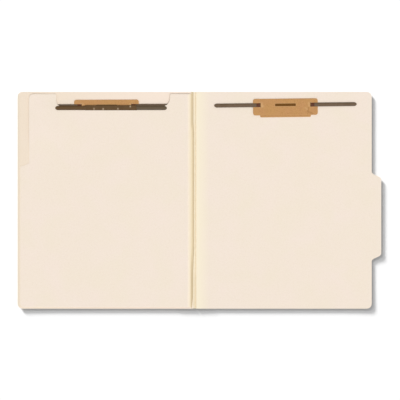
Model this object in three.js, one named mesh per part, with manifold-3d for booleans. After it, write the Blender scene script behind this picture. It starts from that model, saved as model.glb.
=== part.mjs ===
// A letter-size classification folder with one divider, lying open and flat, in millimetres.
// X runs across the open folder, from the front cover on the left to the back cover on the right.
// Y runs up the pages, with 0 at mid-height. Z points up from the table that the folder lies on.
// Every piece is placed from the middle of the gutter between the covers. The last group moves
// the whole folder so that its origin is the middle of its footprint.

import * as THREE from 'three';
import { mergeVertices } from 'three/addons/utils/BufferGeometryUtils.js';
import Module from 'manifold-3d';

const wasm = await Module();
wasm.setup();

// Covers, of manila board
const coverWidth = 241.3;
const coverHeight = 298.45;
const boardThickness = 0.46;
const coverCornerRadius = 6;
const gutterWidth = 4.8;

// The index tab on the back cover's outer edge, by its distances down from the top edge
const tabDepth = 13.1;
const tabTop = 109.6;
const tabLength = 124;
const tabShoulder = 11.2;

// Gusset, of spunbonded sheet glued under the covers' spine edges
const gussetThickness = 0.15;
const gussetLap = 21.5;
const gussetEndInset = 1;
const backPleatWidth = 2.45;
const backPleatHeight = 1.2;
const frontPleatWidth = 0.8;

// Hot-melt film under the glued pieces
const glueThickness = 0.05;
const glueMargin = 1.5;

// Clearances: between glued faces, between loose layers, and between pieces that move apart
const filmGap = 0.03;
const slipGap = 0.05;
const foldGap = 0.15;
const turningGap = 0.3;

// How the board steps up over the edge of the gusset's lap
const jogRun = 1.5;

// Bonded fasteners, one on the inside of each cover. The carrier's two heights are measured up and
// down from the centre line of the prong holes.
const holeSpacing = 69.85;
const prongLength = 63;
const prongWidth = 5.2;
const metalThickness = 0.35;
const carrierThickness = 0.28;
const carrierWidth = 89;
const carrierUpperHeight = 8.5;
const carrierLowerHeight = 14.2;
const carrierCornerRadius = 3;
const lipWidth = 70;
const lipDrop = 2.75;
const windowLength = 28.5;
const windowHeight = 3.6;
const windowRadius = 1;
const holeMargin = 0.6;
const padThickness = 0.08;
const padInset = 2;
const backFastenerFromSpine = 122.5;
const backFastenerFromTop = 17.9;
const backFastenerTilt = 0.64;
const frontFastenerFromSpine = 118.9;
const frontFastenerFromTop = 19.4;
const frontFastenerTilt = 0.25;

// Divider board, by its insets from the front cover's edges
const dividerOuterInset = 3.6;
const dividerTopInset = 3.2;
const dividerBottomInset = 2.2;
const dividerSpineInset = 6.8;
const undercutDepth = 12.4;
const undercutLength = 95.4;
const undercutSlope = 4.4;
const dividerCornerRadius = 4.5;
const undercutRadius = 2;
const notchCentreFromSpine = 109.65;
const notchWidth = 156.5;
const notchDepth = 17.15;
const notchCornerRadius = 11.5;
const notchMouthRadius = 2;
const dividerLift = 0.15;

// The divider's hinge tape, and its twin fastener over the notch's lower edge, whose channel
// stands a little clear of that edge
const tapeLap = 15;
const tapeBeyondPleat = 0.1;
const channelThickness = 0.3;
const channelLength = 71;
const channelHeight = 7;
const channelStandoff = 1.4;
const twinProngLength = 41.7;
const twinProngDrop = 2.52;
const twinFromSpine = 112.4;

// How far a cutting block reaches beyond what it cuts, and the steps in each quarter of a corner
const cutMargin = 1;
const cornerSteps = 6;

// Heights and edges that follow from the sizes above
const spineEdge = gutterWidth / 2;
const topEdge = coverHeight / 2;
const raisedBoardZ = gussetThickness + glueThickness + 2 * filmGap;
const fastenerZ = {};
fastenerZ.pad = filmGap;
fastenerZ.lowerLeaf = fastenerZ.pad + padThickness + filmGap;
fastenerZ.strip = fastenerZ.lowerLeaf + carrierThickness + slipGap;
fastenerZ.upperLeaf = fastenerZ.strip + metalThickness + slipGap;
fastenerZ.prong = fastenerZ.upperLeaf + carrierThickness + slipGap;
fastenerZ.top = fastenerZ.prong + metalThickness;
const twinStack = slipGap + channelThickness + slipGap + metalThickness;
const dividerZ = boardThickness + fastenerZ.top + dividerLift + twinStack;
const tapeZ = dividerZ - glueThickness - 2 * filmGap - gussetThickness;
const frontPleatHeight = tapeZ - turningGap;
const frontPleatNear = spineEdge - foldGap;
const frontPleatFar = frontPleatNear - frontPleatWidth;
const backPleatFar = turningGap - frontPleatFar;
const backPleatNear = backPleatFar + backPleatWidth;
const tapeEnd = frontPleatNear - tapeBeyondPleat;

const manila = { color: 0xf4e6d6, roughness: 0.8, metalness: 0 };
const kraft = { color: 0xc4945e, roughness: 0.85, metalness: 0 };
const spunbonded = { color: 0xf2e2bd, roughness: 0.6, metalness: 0 };
const film = { color: 0xe9dcb8, roughness: 0.4, metalness: 0 };
const brownSteel = { color: 0x5c4a38, roughness: 0.35, metalness: 0.4 };

// A named mesh with its own material.
function piece(name, geometry, finish) {
  const mesh = new THREE.Mesh(geometry, new THREE.MeshStandardMaterial(finish));
  mesh.name = name;
  return mesh;
}

// A group of pieces that share a place, and a turn about Z in degrees.
function placed(pieces, x, y, z, turn = 0) {
  const group = new THREE.Group();
  group.position.set(x, y, z);
  group.rotation.z = THREE.MathUtils.degToRad(turn);
  group.add(...pieces);
  return group;
}

// An outline through corners given as [x, y, radius].
function roundedShape(corners) {
  const shape = new THREE.Shape();
  corners.forEach(([x, y, radius], i) => {
    const corner = new THREE.Vector2(x, y);
    const before = new THREE.Vector2(...corners.at(i - 1).slice(0, 2));
    const after = new THREE.Vector2(...corners[(i + 1) % corners.length].slice(0, 2));
    const start = before.sub(corner).setLength(radius).add(corner);
    const end = after.sub(corner).setLength(radius).add(corner);
    if (i === 0) {
      shape.moveTo(start.x, start.y);
    } else {
      shape.lineTo(start.x, start.y);
    }
    if (radius > 0) {
      shape.quadraticCurveTo(x, y, end.x, end.y);
    }
  });
  return shape;
}

// An outline with its corners sharp, through points given as [x, y].
function sharpShape(points) {
  return new THREE.Shape(points.map(([x, y]) => new THREE.Vector2(x, y)));
}

// The four corners of an upright rectangle, each with the same radius.
function rectangle(left, bottom, right, top, radius = 0) {
  return [
    [left, bottom, radius],
    [right, bottom, radius],
    [right, top, radius],
    [left, top, radius],
  ];
}

function extruded(shape, depth) {
  return new THREE.ExtrudeGeometry(shape, { depth, bevelEnabled: false, curveSegments: cornerSteps });
}

// A flat sheet: a shape in X and Y, from the height z up.
function slab(shape, z, thickness) {
  return extruded(shape, thickness).translate(0, 0, z);
}

// A section in X and Z, run along Y from bottom to top.
function runAlongY(section, bottom, top) {
  const basis = new THREE.Matrix4().makeBasis(
    new THREE.Vector3(1, 0, 0),
    new THREE.Vector3(0, 0, 1),
    new THREE.Vector3(0, -1, 0),
  );
  return extruded(section, top - bottom).applyMatrix4(basis).translate(0, top, 0);
}

// A section in Y and Z, run along X to the same distance on both sides of 0.
function runAlongX(section, halfLength) {
  const basis = new THREE.Matrix4().makeBasis(
    new THREE.Vector3(0, 1, 0),
    new THREE.Vector3(0, 0, 1),
    new THREE.Vector3(1, 0, 0),
  );
  return extruded(section, 2 * halfLength).applyMatrix4(basis).translate(-halfLength, 0, 0);
}

function toSolid(geometry) {
  const bare = geometry.clone();
  bare.deleteAttribute('normal');
  bare.deleteAttribute('uv');
  const merged = mergeVertices(bare);
  return new wasm.Manifold(new wasm.Mesh({
    numProp: 3,
    vertProperties: new Float32Array(merged.attributes.position.array),
    triVerts: new Uint32Array(merged.index.array),
  }));
}

function toGeometry(solid) {
  const mesh = solid.getMesh();
  const geometry = new THREE.BufferGeometry();
  geometry.setAttribute('position', new THREE.BufferAttribute(mesh.vertProperties, 3));
  geometry.setIndex(new THREE.BufferAttribute(mesh.triVerts, 1));
  geometry.computeVertexNormals();
  return geometry;
}

// The board's section across the spine: flat on the table, and stepped up over the gusset's lap.
// side is 1 for the back cover and -1 for the front cover.
function coverSection(side, outerEdge) {
  const jogEnd = spineEdge + gussetLap + jogRun;
  const jogStart = jogEnd + jogRun;
  const underside = [
    [spineEdge, raisedBoardZ],
    [jogEnd, raisedBoardZ],
    [jogStart, 0],
    [outerEdge, 0],
  ];
  const topside = underside.map(([u, z]) => [u, z + boardThickness]).reverse();
  return sharpShape([...underside, ...topside].map(([u, z]) => [side * u, z]));
}

// The back cover's plan outline, with the tab's S-curved shoulders on its outer edge.
function backCoverOutline() {
  const outer = spineEdge + coverWidth;
  const tip = outer + tabDepth;
  const radius = coverCornerRadius;
  const tabStart = topEdge - tabTop;
  const tabEnd = tabStart - tabLength;
  const half = tabShoulder / 2;
  const shape = new THREE.Shape();
  shape.moveTo(spineEdge, -topEdge);
  shape.lineTo(outer - radius, -topEdge);
  shape.quadraticCurveTo(outer, -topEdge, outer, radius - topEdge);
  shape.lineTo(outer, tabEnd);
  shape.bezierCurveTo(outer, tabEnd + half, tip, tabEnd + half, tip, tabEnd + tabShoulder);
  shape.lineTo(tip, tabStart - tabShoulder);
  shape.bezierCurveTo(tip, tabStart - half, outer, tabStart - half, outer, tabStart);
  shape.lineTo(outer, topEdge - radius);
  shape.quadraticCurveTo(outer, topEdge, outer - radius, topEdge);
  shape.lineTo(spineEdge, topEdge);
  return shape;
}

function frontCoverOutline() {
  const outer = -spineEdge - coverWidth;
  return roundedShape([
    [outer, -topEdge, coverCornerRadius],
    [-spineEdge, -topEdge, 0],
    [-spineEdge, topEdge, 0],
    [outer, topEdge, coverCornerRadius],
  ]);
}

// A cover is its section along the spine, kept inside its plan outline.
function cover(side, outline) {
  const reach = spineEdge + coverWidth + tabDepth + cutMargin;
  const end = topEdge + cutMargin;
  const strip = runAlongY(coverSection(side, reach), -end, end);
  const plan = slab(outline, -cutMargin, raisedBoardZ + boardThickness + 2 * cutMargin);
  return toGeometry(toSolid(strip).intersect(toSolid(plan)));
}

// Half of the gusset: the lap glued under one cover, and its share of the spare width, which
// stands in the gutter as a pleat. near and far are the pleat's faces, measured from the gutter's
// middle towards the half's own cover.
function gussetHalf(side, near, far, crest) {
  const lapEnd = spineEdge + gussetLap;
  const sheet = gussetThickness;
  const ribbon = [
    [lapEnd, 0],
    [near - sheet, 0],
    [near - sheet, crest - sheet],
    [far + sheet, crest - sheet],
    [far + sheet, 0],
    [far, 0],
    [far, crest],
    [near, crest],
    [near, sheet],
    [lapEnd, sheet],
  ];
  const end = topEdge - gussetEndInset;
  return runAlongY(sharpShape(ribbon.map(([u, z]) => [side * u, z])), -end, end);
}

// The film that holds a gusset half's lap to its cover.
function gussetGlue(side) {
  const inner = side * (spineEdge + glueMargin);
  const outer = side * (spineEdge + gussetLap - glueMargin);
  const end = topEdge - gussetEndInset - glueMargin;
  const outline = roundedShape(rectangle(Math.min(inner, outer), -end, Math.max(inner, outer), end));
  return slab(outline, gussetThickness + filmGap, glueThickness);
}

// The kraft carrier of a bonded fastener: one sheet folded over at its top edge. The upper leaf
// has a hole for each prong and a window between them, and the lower leaf shows as a lip.
function carrier() {
  const halfLeaf = carrierWidth / 2;
  const halfLip = lipWidth / 2;
  const holeHalf = prongWidth / 2 + holeMargin;
  const holeReach = metalThickness / 2 + holeMargin;
  const punched = (left, bottom, right, top, radius) => toSolid(slab(
    roundedShape(rectangle(left, bottom, right, top, radius)),
    fastenerZ.strip,
    fastenerZ.prong - fastenerZ.strip,
  ));
  let sheet = toSolid(slab(
    roundedShape(
      rectangle(-halfLeaf, -carrierLowerHeight, halfLeaf, carrierUpperHeight, carrierCornerRadius),
    ),
    fastenerZ.upperLeaf,
    carrierThickness,
  ));
  for (const side of [-1, 1]) {
    const x = side * holeSpacing / 2;
    sheet = sheet.subtract(punched(x - holeReach, -holeHalf, x + holeReach, holeHalf, 0));
  }
  sheet = sheet.subtract(
    punched(-windowLength / 2, -windowHeight / 2, windowLength / 2, windowHeight / 2, windowRadius),
  );
  const lowerBottom = -carrierLowerHeight - lipDrop;
  const lowerLeaf = slab(
    roundedShape(rectangle(-halfLip, lowerBottom, halfLip, carrierUpperHeight)),
    fastenerZ.lowerLeaf,
    carrierThickness,
  );
  const foldFoot = fastenerZ.lowerLeaf;
  const foldTop = fastenerZ.upperLeaf + carrierThickness;
  const foldInside = carrierUpperHeight - carrierThickness;
  const fold = runAlongX(sharpShape(rectangle(foldInside, foldFoot, carrierUpperHeight, foldTop)), halfLip);
  return toGeometry(sheet.add(toSolid(lowerLeaf)).add(toSolid(fold)));
}

// The adhesive pad that bonds a carrier to its cover.
function bondingPad() {
  const half = lipWidth / 2 - padInset;
  const bottom = -carrierLowerHeight - lipDrop + padInset;
  return slab(
    roundedShape(rectangle(-half, bottom, half, carrierUpperHeight - padInset)),
    fastenerZ.pad,
    padThickness,
  );
}

// The metal strip inside a carrier, with its ends bent up through the prong holes.
function baseStrip() {
  const half = holeSpacing / 2 + metalThickness / 2;
  const neckTop = fastenerZ.prong - 2 * slipGap;
  const section = sharpShape([
    [-half, fastenerZ.strip],
    [half, fastenerZ.strip],
    [half, neckTop],
    [half - metalThickness, neckTop],
    [half - metalThickness, fastenerZ.strip + metalThickness],
    [metalThickness - half, fastenerZ.strip + metalThickness],
    [metalThickness - half, neckTop],
    [-half, neckTop],
  ]);
  return runAlongY(section, -prongWidth / 2, prongWidth / 2);
}

// A flat prong from its hinge line outwards, with a round tip.
function prong(side, length, z) {
  const half = prongWidth / 2;
  const root = side * holeSpacing / 2;
  const tip = root + side * length;
  const outline = roundedShape([
    [root, -half, 0],
    [tip, -half, half],
    [tip, half, half],
    [root, half, 0],
  ]);
  return slab(outline, z, metalThickness);
}

// A whole bonded fastener, standing on the top of its cover's board.
function bondedFastener(name, x, y, turn) {
  return placed([
    piece(`${name}_bonding_pad`, bondingPad(), film),
    piece(`${name}_fastener_carrier`, carrier(), kraft),
    piece(`${name}_base_strip`, baseStrip(), brownSteel),
    piece(`${name}_prong_left`, prong(-1, prongLength, fastenerZ.prong), brownSteel),
    piece(`${name}_prong_right`, prong(1, prongLength, fastenerZ.prong), brownSteel),
  ], x, y, boardThickness, turn);
}

// The divider's plan outline: narrower along its upper outer edge, with a wide notch in its top.
function dividerOutline() {
  const wide = dividerOuterInset - spineEdge - coverWidth;
  const narrow = wide + undercutDepth;
  const spine = -spineEdge - dividerSpineInset;
  const top = topEdge - dividerTopInset;
  const bottom = dividerBottomInset - topEdge;
  const stepTop = top - undercutLength;
  const notchMiddle = -spineEdge - notchCentreFromSpine;
  const notchLeft = notchMiddle - notchWidth / 2;
  const notchRight = notchMiddle + notchWidth / 2;
  const notchFloor = top - notchDepth;
  return roundedShape([
    [wide, bottom, dividerCornerRadius],
    [spine, bottom, 0],
    [spine, top, 0],
    [notchRight, top, notchMouthRadius],
    [notchRight, notchFloor, notchCornerRadius],
    [notchLeft, notchFloor, notchCornerRadius],
    [notchLeft, top, notchMouthRadius],
    [narrow, top, dividerCornerRadius],
    [narrow, stepTop, undercutRadius],
    [wide, stepTop - undercutSlope, undercutRadius],
  ]);
}

// The sheet that hinges the divider to the gutter, glued to the underside of its spine edge.
function hingeTape() {
  const outer = -spineEdge - dividerSpineInset - tapeLap;
  const bottom = dividerBottomInset - topEdge;
  const outline = roundedShape(rectangle(outer, bottom, -tapeEnd, topEdge - dividerTopInset));
  return slab(outline, tapeZ, gussetThickness);
}

function tapeGlue() {
  const inner = -spineEdge - dividerSpineInset - glueMargin;
  const outer = inner - tapeLap + 2 * glueMargin;
  const bottom = dividerBottomInset + glueMargin - topEdge;
  const top = topEdge - dividerTopInset - glueMargin;
  const outline = roundedShape(rectangle(outer, bottom, inner, top));
  return slab(outline, tapeZ + gussetThickness + filmGap, glueThickness);
}

// The metal channel crimped over the notch's lower edge. Its height 0 is the board's underside.
function edgeChannel() {
  const edge = twinProngDrop + slipGap + channelStandoff;
  const outer = slipGap + channelThickness;
  const foot = edge + channelThickness - channelHeight;
  const section = sharpShape([
    [foot, -outer],
    [edge + channelThickness, -outer],
    [edge + channelThickness, boardThickness + outer],
    [foot, boardThickness + outer],
    [foot, boardThickness + slipGap],
    [edge, boardThickness + slipGap],
    [edge, -slipGap],
    [foot, -slipGap],
  ]);
  return runAlongX(section, channelLength / 2);
}

function twinFastener() {
  const above = boardThickness + slipGap + channelThickness + slipGap;
  const below = -slipGap - channelThickness - slipGap - metalThickness;
  return [
    piece('divider_fastener_channel', edgeChannel(), brownSteel),
    piece('divider_top_prong_left', prong(-1, twinProngLength, above), brownSteel),
    piece('divider_top_prong_right', prong(1, twinProngLength, above), brownSteel),
    piece('divider_under_prong_left', prong(-1, twinProngLength, below), brownSteel),
    piece('divider_under_prong_right', prong(1, twinProngLength, below), brownSteel),
  ];
}

const folder = new THREE.Group();

// Back cover, its half of the gusset and its fastener
folder.add(
  piece('back_cover', cover(1, backCoverOutline()), manila),
  piece('back_gusset', gussetHalf(1, backPleatNear, backPleatFar, backPleatHeight), spunbonded),
  piece('back_gusset_glue', gussetGlue(1), film),
  bondedFastener(
    'back',
    spineEdge + backFastenerFromSpine,
    topEdge - backFastenerFromTop,
    backFastenerTilt,
  ),
);

// Front cover, its half of the gusset and its fastener
folder.add(
  piece('front_cover', cover(-1, frontCoverOutline()), manila),
  piece('front_gusset', gussetHalf(-1, frontPleatNear, frontPleatFar, frontPleatHeight), spunbonded),
  piece('front_gusset_glue', gussetGlue(-1), film),
  bondedFastener(
    'front',
    -spineEdge - frontFastenerFromSpine,
    topEdge - frontFastenerFromTop,
    frontFastenerTilt,
  ),
);

// Divider, folded over onto the front cover
const twinX = -spineEdge - twinFromSpine;
const twinY = topEdge - dividerTopInset - notchDepth - twinProngDrop;
folder.add(
  piece('divider_board', slab(dividerOutline(), dividerZ, boardThickness), manila),
  piece('divider_hinge_tape', hingeTape(), spunbonded),
  piece('divider_tape_glue', tapeGlue(), film),
  placed(twinFastener(), twinX, twinY, dividerZ),
);

// The tab makes the right side longer, so the footprint's middle lies half its depth to the right
folder.position.x = -tabDepth / 2;

const model = new THREE.Group();
model.add(folder);

export default model;
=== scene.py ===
"""A letter-size classification folder that lies open and flat, dressed for its portrait.

Lengths in the classes below are millimetres in the folder's own frame: X across the open folder
from the front cover to the back cover, Y up the pages and Z up from the table. The origin is under
the middle of the footprint, and the gutter between the covers lies a little to the left of it.
"""

import logging
import math
from collections.abc import Callable, Sequence
from dataclasses import dataclass
from enum import Enum
from functools import cache

import bpy
import numpy as np
from mathutils import Matrix, Vector
from mathutils.geometry import delaunay_2d_cdt


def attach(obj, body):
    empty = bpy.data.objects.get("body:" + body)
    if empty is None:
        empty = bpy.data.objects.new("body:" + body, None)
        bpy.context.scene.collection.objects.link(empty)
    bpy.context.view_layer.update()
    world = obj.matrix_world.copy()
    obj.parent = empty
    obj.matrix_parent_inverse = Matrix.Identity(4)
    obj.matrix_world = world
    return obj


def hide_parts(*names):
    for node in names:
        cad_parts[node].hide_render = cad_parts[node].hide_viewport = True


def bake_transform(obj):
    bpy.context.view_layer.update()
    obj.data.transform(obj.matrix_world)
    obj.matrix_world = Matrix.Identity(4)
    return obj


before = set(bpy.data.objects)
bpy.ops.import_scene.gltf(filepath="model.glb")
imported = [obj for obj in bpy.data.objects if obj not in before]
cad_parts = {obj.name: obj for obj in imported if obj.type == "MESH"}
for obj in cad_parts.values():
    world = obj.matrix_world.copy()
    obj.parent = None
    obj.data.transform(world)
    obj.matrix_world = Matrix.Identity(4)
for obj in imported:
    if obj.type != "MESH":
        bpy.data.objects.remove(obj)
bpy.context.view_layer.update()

LOG = logging.getLogger("folder")
MM = 0.001
GUTTER_X = -6.55
STRIP_SHARP_DEGREES = 50.0
CLOTH_SHARP_DEGREES = 60.0
FLAT = "flat"
FROM_EDGE = "from_edge"
# A mark per point: real abrasion, and painted light and shade: shade in the gusset's pleats and
# the tape, a crease's light and shade on the carrier, a highlight at the prongs' bends.
WEAR_AND_SHADE = "wear_and_shade"

Array = np.ndarray
Colour = tuple[float, float, float, float]
Placing = Callable[[Array, Array], Array]
Socket = bpy.types.NodeSocket


class Body(Enum):
    """The moving parts of the folder, by the names of their bodies."""

    BACK = "back"
    FRONT = "front"
    DIVIDER = "divider"
    BACK_LEFT_PRONG = "back_left_prong"
    BACK_RIGHT_PRONG = "back_right_prong"
    DIVIDER_LEFT_PRONG = "divider_left_prong"
    DIVIDER_RIGHT_PRONG = "divider_right_prong"


class Slot(Enum):
    """What each piece of the folder is made of."""

    MANILA = "manila_board"
    KRAFT = "kraft_paper"
    GUSSET = "gusset_sheet"
    GLUE = "glue_film"
    METAL = "brown_metal"


class Side(Enum):
    """The two sides of the gutter."""

    FRONT = -1
    BACK = 1

    @property
    def label(self) -> str:
        """The side's word in the names of its pieces."""
        return self.name.lower()

    @property
    def body(self) -> Body:
        """The body of the side's cover."""
        return Body[self.name]


def paint(red: int, green: int, blue: int) -> Colour:
    """Turns a colour as a display shows it into the light values that a shader takes.

    Args:
        red: The red part, from 0 to 255.
        green: The green part, from 0 to 255.
        blue: The blue part, from 0 to 255.

    Returns:
        The colour as linear light, with a full last value.
    """
    parts = [part / 255 for part in (red, green, blue)]
    light = [p / 12.92 if p <= 0.04045 else ((p + 0.055) / 1.055) ** 2.4 for p in parts]
    return (light[0], light[1], light[2], 1.0)


def eased(values: Array) -> Array:
    """Keeps values between 0 and 1 and eases them at both ends."""
    held = np.clip(values, 0.0, 1.0)
    return held * held * (3.0 - 2.0 * held)


def softened(points: Sequence[tuple[float, float]], rounds: int = 2) -> Array:
    """Rounds the corners of an open path and keeps its two ends.

    Args:
        points: The path's corners.
        rounds: How many times each corner is cut.

    Returns:
        The rounded path, one point a row.
    """
    path = np.array(points, float)
    for _ in range(rounds):
        early = 0.75 * path[:-1] + 0.25 * path[1:]
        late = 0.25 * path[:-1] + 0.75 * path[1:]
        between = np.stack([early, late], axis=1).reshape(-1, path.shape[1])
        path = np.concatenate([path[:1], between, path[-1:]])
    return path


def add_object(name: str, data: bpy.types.ID) -> bpy.types.Object:
    """Puts an object with its data in the scene.

    Args:
        name: The object's name.
        data: Its mesh, lamp or camera.

    Returns:
        The object, at the origin.
    """
    made = bpy.data.objects.new(name, data)
    bpy.context.scene.collection.objects.link(made)
    return made


def lengths_along(path: Array) -> Array:
    """Measures how far along a path each of its points lies."""
    steps = np.hypot(*np.diff(path, axis=0).T)
    return np.concatenate([[0.0], np.cumsum(steps)])


def grid_of(x: Array, y: Array, z: Array) -> Array:
    """Joins rows and columns of places into one grid of points."""
    return np.stack(np.broadcast_arrays(x, y, z), axis=2)


def moved(points: Array, transform: Matrix) -> Array:
    """Moves points, one a row, by a transform in millimetres."""
    matrix = np.array(transform)
    return points @ matrix[:3, :3].T + matrix[:3, 3]


@dataclass(frozen=True)
class Ease:
    """A smooth change from 0 to 1: where it starts and over what run."""

    start: float
    run: float

    def at(self, places: Array) -> Array:
        """Gives the change's share at places along it."""
        return eased((places - self.start) / self.run)


@dataclass(frozen=True)
class Hump:
    """A smooth rise and fall: where its middle is, how wide it is and how high."""

    middle: float
    width: float
    height: float = 1.0

    def at(self, places: Array) -> Array:
        """Gives the hump's height at places across it."""
        return self.height * np.exp(-(((places - self.middle) / self.width) ** 2))


@dataclass(frozen=True)
class Wave:
    """A faint wave in a sheet: its depth, its length over one radian and its phase."""

    depth: float
    length: float
    phase: float = 0.0

    def at(self, places: Array) -> Array:
        """Gives the wave's height at places along it."""
        return self.depth * np.sin(places / self.length + self.phase)


@dataclass(frozen=True)
class Outline:
    """A closed plan outline, run anticlockwise, one corner a row."""

    points: Array

    @classmethod
    def rounded(cls, corners: Sequence[tuple[float, float, float]], steps: int = 8) -> "Outline":
        """Makes an outline whose corners are cut round.

        Args:
            corners: Each corner's place and its radius.
            steps: The steps round each corner.

        Returns:
            The outline.
        """
        made: list[Array] = []
        count = len(corners)
        for index, (x, y, radius) in enumerate(corners):
            corner = np.array([x, y])
            if radius <= 0:
                made.append(corner)
                continue
            before = np.array(corners[index - 1][:2]) - corner
            after = np.array(corners[(index + 1) % count][:2]) - corner
            start = corner + before / np.linalg.norm(before) * radius
            end = corner + after / np.linalg.norm(after) * radius
            for step in range(steps + 1):
                t = step / steps
                made.append((1 - t) ** 2 * start + 2 * t * (1 - t) * corner + t * t * end)
        return cls(np.array(made))

    @classmethod
    def rectangle(
        cls, left: float, bottom: float, right: float, top: float, radius: float = 0.0
    ) -> "Outline":
        """Makes an upright rectangle whose corners share one radius."""
        corners = [(left, bottom), (right, bottom), (right, top), (left, top)]
        return cls.rounded([(x, y, radius) for x, y in corners])

    @classmethod
    def opening(cls, x: float, width: float, height: float, radius: float) -> "Outline":
        """Makes a rectangle whose middle is a place on the X axis."""
        return cls.rectangle(x - width / 2, -height / 2, x + width / 2, height / 2, radius)

    def divided(self, spacing: float) -> "Outline":
        """Adds points along the long edges.

        Args:
            spacing: The longest step that is left.

        Returns:
            The same outline with more points.
        """
        made: list[Array] = []
        for start, end in zip(self.points, np.roll(self.points, -1, axis=0)):
            steps = max(1, math.ceil(float(np.linalg.norm(end - start)) / spacing))
            made.extend(start + (end - start) * step / steps for step in range(steps))
        return Outline(np.array(made))

    def inset(self, distance: float) -> "Outline":
        """Moves every point inwards, or outwards where the distance is below 0.

        Args:
            distance: How far each edge moves.

        Returns:
            The moved outline.
        """
        ahead = np.roll(self.points, -1, axis=0) - self.points
        ahead /= np.linalg.norm(ahead, axis=1)[:, None]
        behind = np.roll(ahead, 1, axis=0)
        first = np.stack([-behind[:, 1], behind[:, 0]], axis=1)
        second = np.stack([-ahead[:, 1], ahead[:, 0]], axis=1)
        shared = 1.0 + (first * second).sum(axis=1)
        return Outline(self.points + (first + second) / shared[:, None] * distance)

    def distance(self, plan: Array) -> Array:
        """Measures how far plan points lie from the outline.

        Args:
            plan: The points, one a row.

        Returns:
            Each point's distance to the nearest edge.
        """
        start = self.points
        along = np.roll(start, -1, axis=0) - start
        length = (along**2).sum(axis=1)
        nearest = np.full(len(plan), np.inf)
        for s, a, l in zip(start, along, length):
            t = np.clip(((plan - s) @ a) / l, 0, 1)
            nearest = np.minimum(nearest, np.linalg.norm(plan - s - t[:, None] * a, axis=1))
        return nearest

    def covers(self, plan: Array) -> Array:
        """Tells which plan points lie inside the outline.

        Args:
            plan: The points, one a row.

        Returns:
            True for each point inside.
        """
        inside = np.zeros(len(plan), bool)
        x, y = plan[:, 0], plan[:, 1]
        for (x0, y0), (x1, y1) in zip(self.points, np.roll(self.points, -1, axis=0)):
            if y0 == y1:
                continue
            crosses = (y0 > y) != (y1 > y)
            inside ^= crosses & (x < (x1 - x0) * (y - y0) / (y1 - y0) + x0)
        return inside


@dataclass
class Moulding:
    """A mesh in the making: its points, its faces and what is noted at each point."""

    points: Array
    faces: list[tuple[int, ...]]
    flat: Array
    from_edge: Array
    wear_and_shade: Array | None = None

    def finished(self, name: str, sharp_degrees: float = 42.0) -> bpy.types.Object:
        """Turns the moulding into an object in the scene.

        Args:
            name: The object's name.
            sharp_degrees: The angle from which an edge is kept sharp.

        Returns:
            The object, at the origin, with its place in its mesh.
        """
        mesh = bpy.data.meshes.new(name)
        mesh.from_pydata((self.points * MM).tolist(), [], self.faces)
        mesh.validate()
        flat = mesh.attributes.new(FLAT, "FLOAT_VECTOR", "POINT")
        rows = np.zeros((len(self.points), 3), np.float32)
        rows[:, :2] = self.flat * MM
        flat.data.foreach_set("vector", rows.ravel())
        wear_and_shade_share = np.zeros(len(self.points)) if self.wear_and_shade is None else self.wear_and_shade
        for label, values in ((FROM_EDGE, self.from_edge * MM), (WEAR_AND_SHADE, wear_and_shade_share)):
            noted = mesh.attributes.new(label, "FLOAT", "POINT")
            noted.data.foreach_set("value", values.astype(np.float32))
        mesh.shade_smooth()
        mesh.set_sharp_from_angle(angle=math.radians(sharp_degrees))
        return add_object(name, mesh)


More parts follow.
